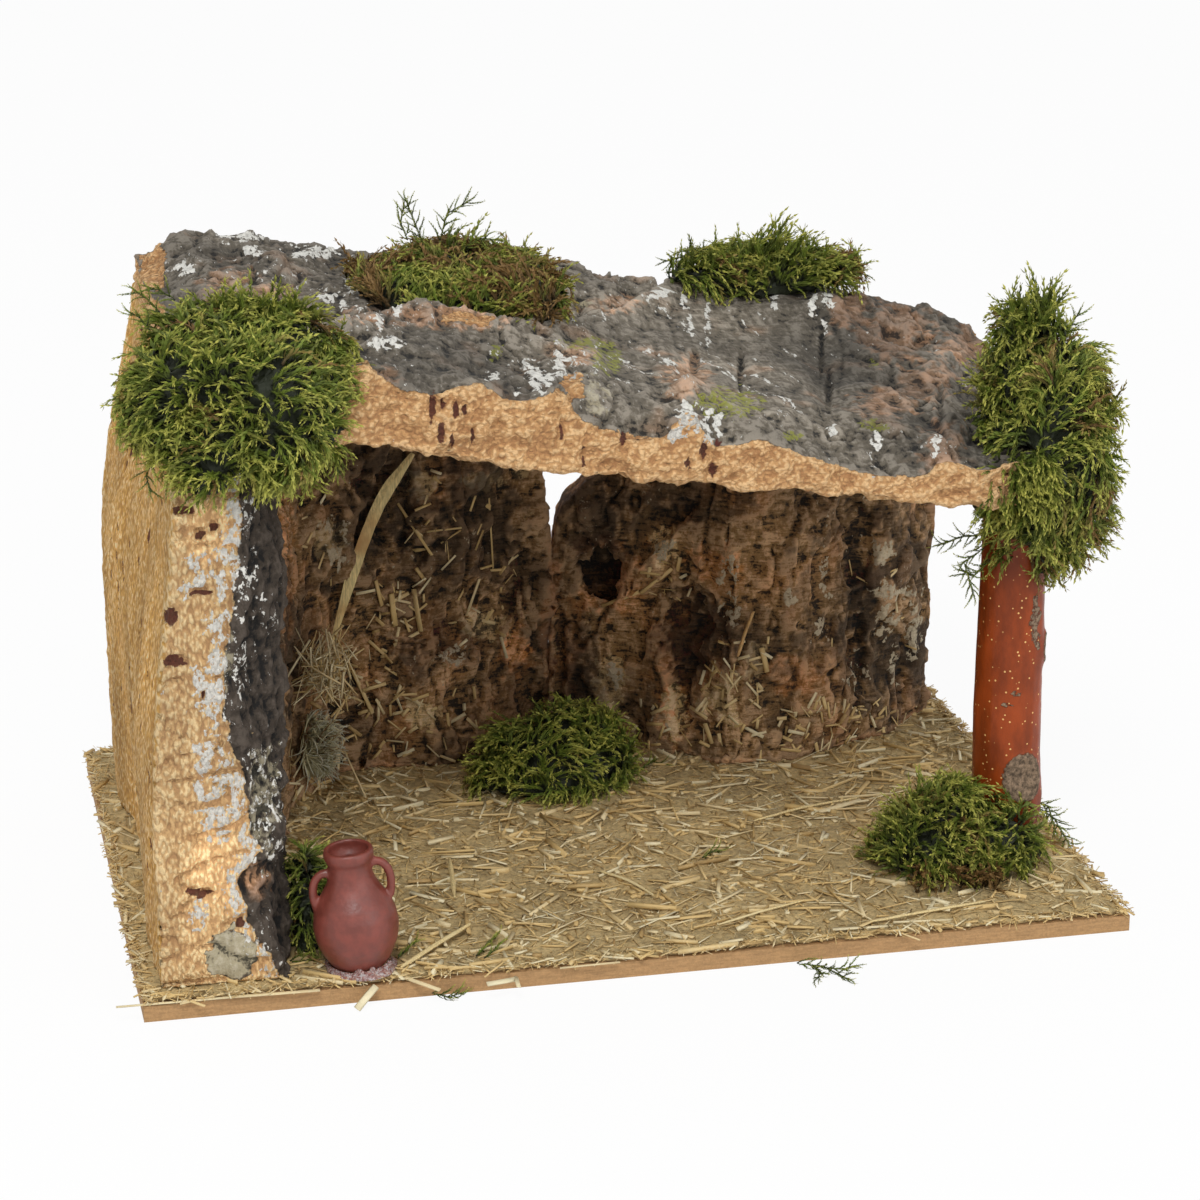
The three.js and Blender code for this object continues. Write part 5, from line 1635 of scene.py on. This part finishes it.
def stalk_material(name, colour, end_colour):
    material, b, shader = new_material(name, 0.55)
    fibre = b.noise(b.millimetres((1, 1, 9)), 0.5, 3.0)
    broad = b.noise(b.millimetres(), 16.0, 2.0)
    shade = b.blend(b.range(fibre, 0.3, 0.7), darker(colour, 0.68),
                    brighter(colour, 1.15))
    shade = b.blend(b.range(broad, 0.45, 0.7), shade, end_colour)
    set_look(b, shader, shade, fibre, 0.25)
    return material


def widen(piece, more):
    """A leaf made broader across its length as the photo sees it, most in its middle."""
    points = places_mm(piece)
    middle = points.mean(0)
    along_way = np.linalg.svd(points - middle, full_matrices=False)[2][0]
    across_way = np.cross(along_way, middle - CAMERA_MM)
    across_way /= np.linalg.norm(across_way)
    along, across = (points - middle) @ along_way, (points - middle) @ across_way
    centre_line = np.polyval(np.polyfit(along, across, 3), along)
    share = 1 - (along / np.abs(along).max()) ** 2
    set_places(piece, points + np.outer((across - centre_line) * more * (0.4 + share), across_way))


class STABLE_OT_stalks(bpy.types.Operator):
    """Make the reed leaf, the stick, the long straws and the tangle of straw"""
    bl_idname = "stable.stalks"
    bl_label = "Reed, stick and straws"

    def execute(self, context):
        straw = context.scene.stable_base.straw
        reed = copy_of("reed_leaf", "dry_reed")
        add_modifier(reed, "Finer", "SUBSURF", levels=3, subdivision_type="SIMPLE")
        soften(reed, 8)
        widen(reed, 0.35)
        dress(reed, "straw", stalk_material("Dry reed", screen(232, 210, 146),
                                            screen(190, 146, 84)), "reed_leaf")
        stick = even_slab("straw_stick", "thick_straw", STALK_STEP, rounds=2)
        dress(stick, "straw", stalk_material("Thick straw", screen(206, 164, 104),
                                             screen(176, 130, 74)), "straw_stick")
        names = [f"floor_straw_{n}" for n in range(1, 7)]
        laid = join([even_slab(name, name + "_laid", STALK_STEP, rounds=2)
                     for name in names], "long_straws")
        dress(laid, "straw", stalk_material("Long straw", straw, screen(226, 208, 158)), *names)

        rng = np.random.default_rng(21)
        shapes = [straw_template(4, bow) for bow in (0.03, -0.05, 0.08)]
        low, high = (np.array(corner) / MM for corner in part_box("straw_tangle"))
        centre, half = (low + high) / 2, (high - low) / 2
        tangle = []
        for _ in range(TANGLE_STRAWS):
            spot = rng.normal(0, 0.42, 3)
            way = Vector((rng.normal(0, 0.6), rng.normal(0, 0.35), rng.normal(0, 1))).normalized()
            size, broad = rng.uniform(6, 15), rng.uniform(0.3, 0.9)
            tangle.append((int(rng.integers(0, 3)),
                           frame_along(way, rng.uniform(0, 6.3), broad, size, broad * 0.4),
                           centre + np.clip(spot, -0.8, 0.8) * half - np.array(way) * size / 2,
                           {"tone": rng.beta(3, 1.1)}))
        dress(lay("tangled_straw", shapes, tangle), "straw",
              straw_material("Tangled straw", straw), "straw_tangle")
        return {"FINISHED"}


# Loose straw on the rear walls and moss strands, from where the photo shows them

# Single pieces: from pixel, to pixel, width in mm, tone from dark to light
WALL_STRAWS = [
    (433, 477, 490, 507, 1.8, 0.45), (488, 498, 492, 568, 0.8, 0.55), (398, 503, 432, 555, 1.1, 0.5),
    (427, 532, 462, 528, 0.8, 0.6), (442, 543, 462, 530, 0.7, 0.5), (478, 578, 465, 615, 1.4, 0.75),
    (390, 593, 394, 625, 2.4, 0.4), (414, 590, 421, 632, 2.0, 0.62), (375, 580, 381, 605, 1.6, 0.4),
    (352, 670, 372, 713, 1.5, 0.6), (338, 742, 364, 798, 1.7, 0.72), (398, 757, 415, 750, 1.6, 1.0),
    (368, 640, 385, 655, 1.2, 0.6), (395, 645, 420, 632, 1.2, 0.7), (761, 648, 767, 672, 2.0, 0.6),
    (640, 593, 672, 568, 1.6, 0.55), (603, 606, 640, 592, 1.4, 0.5), (430, 470, 441, 474, 1.0, 0.9),
    (350, 690, 330, 725, 0.9, 0.6), (385, 683, 362, 690, 1.4, 0.6), (705, 722, 712, 742, 1.8, 0.6),
    (819, 700, 822, 722, 0.9, 0.6), (827, 702, 829, 718, 0.9, 0.5), (834, 703, 832, 716, 0.8, 0.7),
]
# Windows in pixels where short straws and shreds cling, and how many
WALL_LITTER = [(395, 500, 520, 600, 24), (360, 580, 425, 655, 26), (300, 650, 400, 760, 60),
               (400, 690, 480, 760, 26), (600, 700, 700, 760, 30), (700, 640, 770, 760, 50),
               (780, 700, 935, 750, 80), (290, 740, 340, 800, 50), (455, 605, 510, 650, 10),
               (640, 560, 690, 600, 12), (300, 480, 350, 600, 6), (820, 560, 930, 690, 8)]
WALL_SCRAPS_MM = 5.5
STRAW_FLATNESS = 0.3


def bar_between(start, end, out, width, tone, rng):
    """A straw from start to end, with its flat side towards out."""
    way = end - start
    turn = way.to_track_quat("Z", "Y").to_matrix()
    across = way.cross(out)
    roll = math.atan2(across.dot(turn @ Vector((0, 1, 0))), across.dot(turn @ Vector((1, 0, 0))))
    return (int(rng.integers(0, 3)), frame_along(way, roll + rng.uniform(-0.3, 0.3), width,
                                                 way.length, width * STRAW_FLATNESS),
            np.array(start), {"tone": tone})


class STABLE_OT_litter(bpy.types.Operator):
    """Stick straws and shreds to the rear walls"""
    bl_idname = "stable.litter"
    bl_label = "Straw on the walls"

    def execute(self, context):
        rng = np.random.default_rng(31)
        shapes = [straw_template(5, bow) for bow in (0.01, 0.03, -0.04)]
        tree = BVHTree.FromPolygons(*carriers("bark_back_left", "bark_back_right", "straw_crust",
                                              "cork_left_wall"))
        laid = []
        for x0, y0, x1, y1, width, tone in WALL_STRAWS:
            (start, out), (end, _) = placed(tree, x0, y0), placed(tree, x1, y1)
            lift = out * (0.4 + width * 0.2)
            laid.append(bar_between(start + lift, end + lift, out, width, tone, rng))
        for x0, y0, z0, x1, y1, z1, width, tone in EDGE_STRAWS:
            start, end = Vector(at_level(x0, y0, z0)), Vector(at_level(x1, y1, z1))
            laid.append(bar_between(start, end, Vector((0, -0.5, 1)), width, tone, rng))
        for x0, y0, x1, y1, count in WALL_LITTER:
            for _ in range(count):
                spot, out = placed(tree, rng.uniform(x0, x1), rng.uniform(y0, y1))
                if spot is None:
                    continue
                way = Vector(rng.normal(0, 1, 3))
                way = (way - way.dot(out) * out * 0.9).normalized()
                size = WALL_SCRAPS_MM * rng.uniform(0.4, 1.4)
                start = spot + out * rng.uniform(0.0, 0.8) - way * size / 2
                laid.append(bar_between(start, start + way * size, out, rng.uniform(0.4, 1.5),
                                        rng.beta(2, 1.5), rng))
        dress(lay("wall_litter", shapes, laid), "straw", bpy.data.materials["Straw"])
        return {"FINISHED"}


def carriers(*names):
    """Points in mm and faces of finished pieces, for finding what carries a loose piece."""
    points, faces = [], []
    for name in names:
        mesh = bpy.data.objects[name].data
        faces += [[len(points) + v for v in polygon.vertices] for polygon in mesh.polygons]
        points += [v.co / MM for v in mesh.vertices]
    return points, faces


# Moss strands: depth (y in mm) and the pixels they pass through
STRANDS = [
    (22, [(424, 246), (412, 216), (405, 197)]), (22, [(440, 240), (447, 214), (470, 200)]),
    (18, [(462, 250), (480, 238), (500, 240)]), (24, [(408, 240), (400, 222), (404, 205)]),
    (78, [(742, 262), (762, 238), (788, 240)]), (78, [(712, 262), (702, 250), (664, 262)]),
    (78, [(770, 262), (792, 255), (812, 262)]), (76, [(820, 272), (845, 266), (868, 276)]),
    (-52, [(1036, 335), (1040, 318), (1044, 300)]), (-52, [(1018, 345), (1012, 325), (1002, 316)]),
    (-50, [(1062, 350), (1068, 330), (1079, 312)]), (-54, [(1080, 400), (1092, 388), (1104, 374)]),
    (-56, [(988, 533), (962, 537), (938, 545)]), (-56, [(984, 548), (964, 562), (974, 596)]),
    (-56, [(990, 560), (975, 575), (960, 570)]), (-58, [(1085, 480), (1100, 478), (1112, 484)]),
    (-52, [(1036, 806), (1054, 818), (1070, 846)]), (-54, [(1030, 800), (1048, 806), (1056, 832)]),
    (-75, [(370, 400), (388, 404), (402, 412)]), (-92, [(160, 312), (146, 298), (134, 290)]),
    (-92, [(175, 300), (160, 290), (148, 287)]), (-92, [(150, 330), (140, 318), (130, 312)]),
    (-90, [(330, 330), (342, 345), (350, 362)]), (-90, [(325, 350), (345, 362), (368, 372)]),
    (-92, [(155, 455), (146, 475), (150, 492)]), (-92, [(170, 465), (168, 482), (178, 496)]),
    (-92, [(330, 445), (340, 460), (338, 474)]), (-90, [(345, 385), (360, 392), (376, 398)]),
]
# Sprigs that hang from the board's front edge and lie on the table there
TABLE_STRANDS = [[(797, 963), (824, 967), (850, 980)], [(812, 965), (820, 972), (819, 978)],
                 [(828, 968), (844, 969), (856, 966)], [(432, 993), (448, 997), (464, 992)]]
# Scraps of moss on the floor
FLOOR_STRANDS = [[(476, 956), (486, 946), (494, 938)], [(484, 958), (492, 952), (500, 944)],
                 [(398, 958), (406, 950), (414, 942)], [(702, 858), (712, 852), (722, 850)],
                 [(270, 935), (285, 928), (300, 930)], [(276, 950), (292, 944), (306, 952)],
                 [(280, 960), (300, 962), (316, 958)], [(640, 770), (652, 762), (664, 764)]]
# Straws by the board's front edge: pixels and height of both ends, width, tone
EDGE_STRAWS = [(320, 990, 6.2, 230, 997, 6.0, 1.2, 0.8), (232, 997, 6.0, 116, 1007, 5.8, 0.9, 0.85),
               (376, 986, 5.8, 357, 1009, 1.0, 2.4, 1.3), (487, 984, 5.9, 515, 979, 5.9, 2.0, 1.0),
               (516, 977, 5.9, 519, 987, 5.9, 1.6, 0.9), (160, 990, 6.4, 205, 1006, 6.0, 0.9, 0.6),
               (390, 972, 6.3, 440, 990, 5.9, 1.3, 0.8), (180, 1004, 5.9, 262, 984, 6.6, 0.7, 0.7),
               (560, 968, 6.2, 620, 962, 6.3, 0.8, 0.8), (880, 925, 6.6, 920, 940, 6.1, 0.8, 0.7)]


# Stage

def seen_directly(b):
    """1 for rays that show a thing or its reflection, 0 for rays that only carry its light."""
    path = b.add("ShaderNodeLightPath")
    return b.math("MAXIMUM", path.outputs["Is Camera Ray"], b.math(
        "MAXIMUM", path.outputs["Is Glossy Ray"], path.outputs["Is Transmission Ray"]))


LAMP_AIM = (0, 0, 0.08)


def soft_lamp(name, place, size, power):
    lamp = bpy.data.lights.new(name, "AREA")
    lamp.shape = "DISK"
    lamp.size = size
    lamp.energy = power
    piece = bpy.data.objects.new(name, lamp)
    bpy.context.scene.collection.objects.link(piece)
    piece.location = place
    piece.rotation_euler = (Vector(LAMP_AIM) - Vector(place)).to_track_quat("-Z", "Y").to_euler()
    return piece


class STABLE_OT_stage(bpy.types.Operator):
    """Set up the pale floor, the soft light and the camera"""
    bl_idname = "stable.stage"
    bl_label = "Stage"

    def execute(self, context):
        settings = context.scene.stable_stage
        deselect_all()
        bpy.ops.mesh.primitive_plane_add(size=9, location=(0, 0, 0))
        floor = bpy.context.object
        floor.name = "floor"
        material, b, shader = new_material("Pale floor", 0.9)
        shader.inputs["Base Color"].default_value = (0.92, 0.92, 0.92, 1)
        seen = seen_directly(b)
        glow = b.add("ShaderNodeEmission", {"Color": (1, 1, 1, 1), "Strength": 1.0})
        mixed = b.add("ShaderNodeMixShader", {
            0: b.math("MULTIPLY", seen, 0.93), 1: shader.outputs[0], 2: glow.outputs[0]})
        output = next(n for n in material.node_tree.nodes if n.type == "OUTPUT_MATERIAL")
        b.tree.links.new(mixed.outputs[0], output.inputs["Surface"])
        floor.data.materials.append(material)

        world = bpy.data.worlds.new("Studio")
        context.scene.world = world
        world.use_nodes = True
        world.node_tree.nodes.clear()
        b = Nodes(world.node_tree)
        seen = seen_directly(b)
        strength = b.math("MULTIPLY_ADD", seen, 1.0 - settings.sky, settings.sky)
        sky = b.add("ShaderNodeBackground", {"Color": (1, 1, 1, 1), "Strength": strength})
        b.add("ShaderNodeOutputWorld", {"Surface": sky.outputs[0]})

        soft_lamp("Key", (-0.45, -1.4, 1.7), 0.8, settings.key)
        soft_lamp("Fill", (1.2, -1.7, 0.8), 1.4, settings.key * 0.4)

        lens = bpy.data.cameras.new("Camera")
        lens.lens = settings.lens
        lens.sensor_width = 36
        lens.clip_end = 20
        camera = bpy.data.objects.new("Camera", lens)
        context.scene.collection.objects.link(camera)
        camera.location = Vector(CAMERA_MM) * MM
        camera.rotation_euler = (math.pi / 2 + settings.tilt, 0, settings.azimuth)
        context.scene.camera = camera
        context.scene.view_settings.view_transform = "Standard"
        return {"FINISHED"}


OPERATORS = (STABLE_OT_ground, STABLE_OT_left_wall, STABLE_OT_back_walls, STABLE_OT_roof,
             STABLE_OT_post, STABLE_OT_jug, STABLE_OT_moss, STABLE_OT_stalks, STABLE_OT_litter,
             STABLE_OT_stage)
SETTINGS = {"stable_base": StableBaseSettings, "stable_bark": StableBarkSettings,
            "stable_post": StablePostSettings, "stable_jug": StableJugSettings,
            "stable_moss": StableMossSettings, "stable_stage": StableStageSettings}


class STABLE_PT_sidebar(bpy.types.Panel):
    """Lists the pieces of the stable and their settings"""
    bl_idname = "STABLE_PT_sidebar"
    bl_label = "Cork Stable"
    bl_space_type = "VIEW_3D"
    bl_region_type = "UI"
    bl_category = "Stable"

    def draw(self, context):
        for operator in OPERATORS:
            self.layout.operator(operator.bl_idname)
        for name, kind in SETTINGS.items():
            box = self.layout.box()
            box.label(text=name.replace("stable_", "").title())
            for key in kind.__annotations__:
                box.prop(getattr(context.scene, name), key)


def register():
    for kind in (*SETTINGS.values(), *OPERATORS, STABLE_PT_sidebar):
        bpy.utils.register_class(kind)
    for name, kind in SETTINGS.items():
        setattr(bpy.types.Scene, name, PointerProperty(type=kind))


def unregister():
    for name in SETTINGS:
        delattr(bpy.types.Scene, name)
    for kind in (STABLE_PT_sidebar, *reversed(OPERATORS), *reversed(SETTINGS.values())):
        bpy.utils.unregister_class(kind)


def main():
    register()
    for operator in OPERATORS:
        group, name = operator.bl_idname.split(".")
        if "FINISHED" not in getattr(getattr(bpy.ops, group), name)():
            raise RuntimeError(f"{operator.bl_label} did not finish")
    deselect_all()


if __name__ == "__main__":
    main()
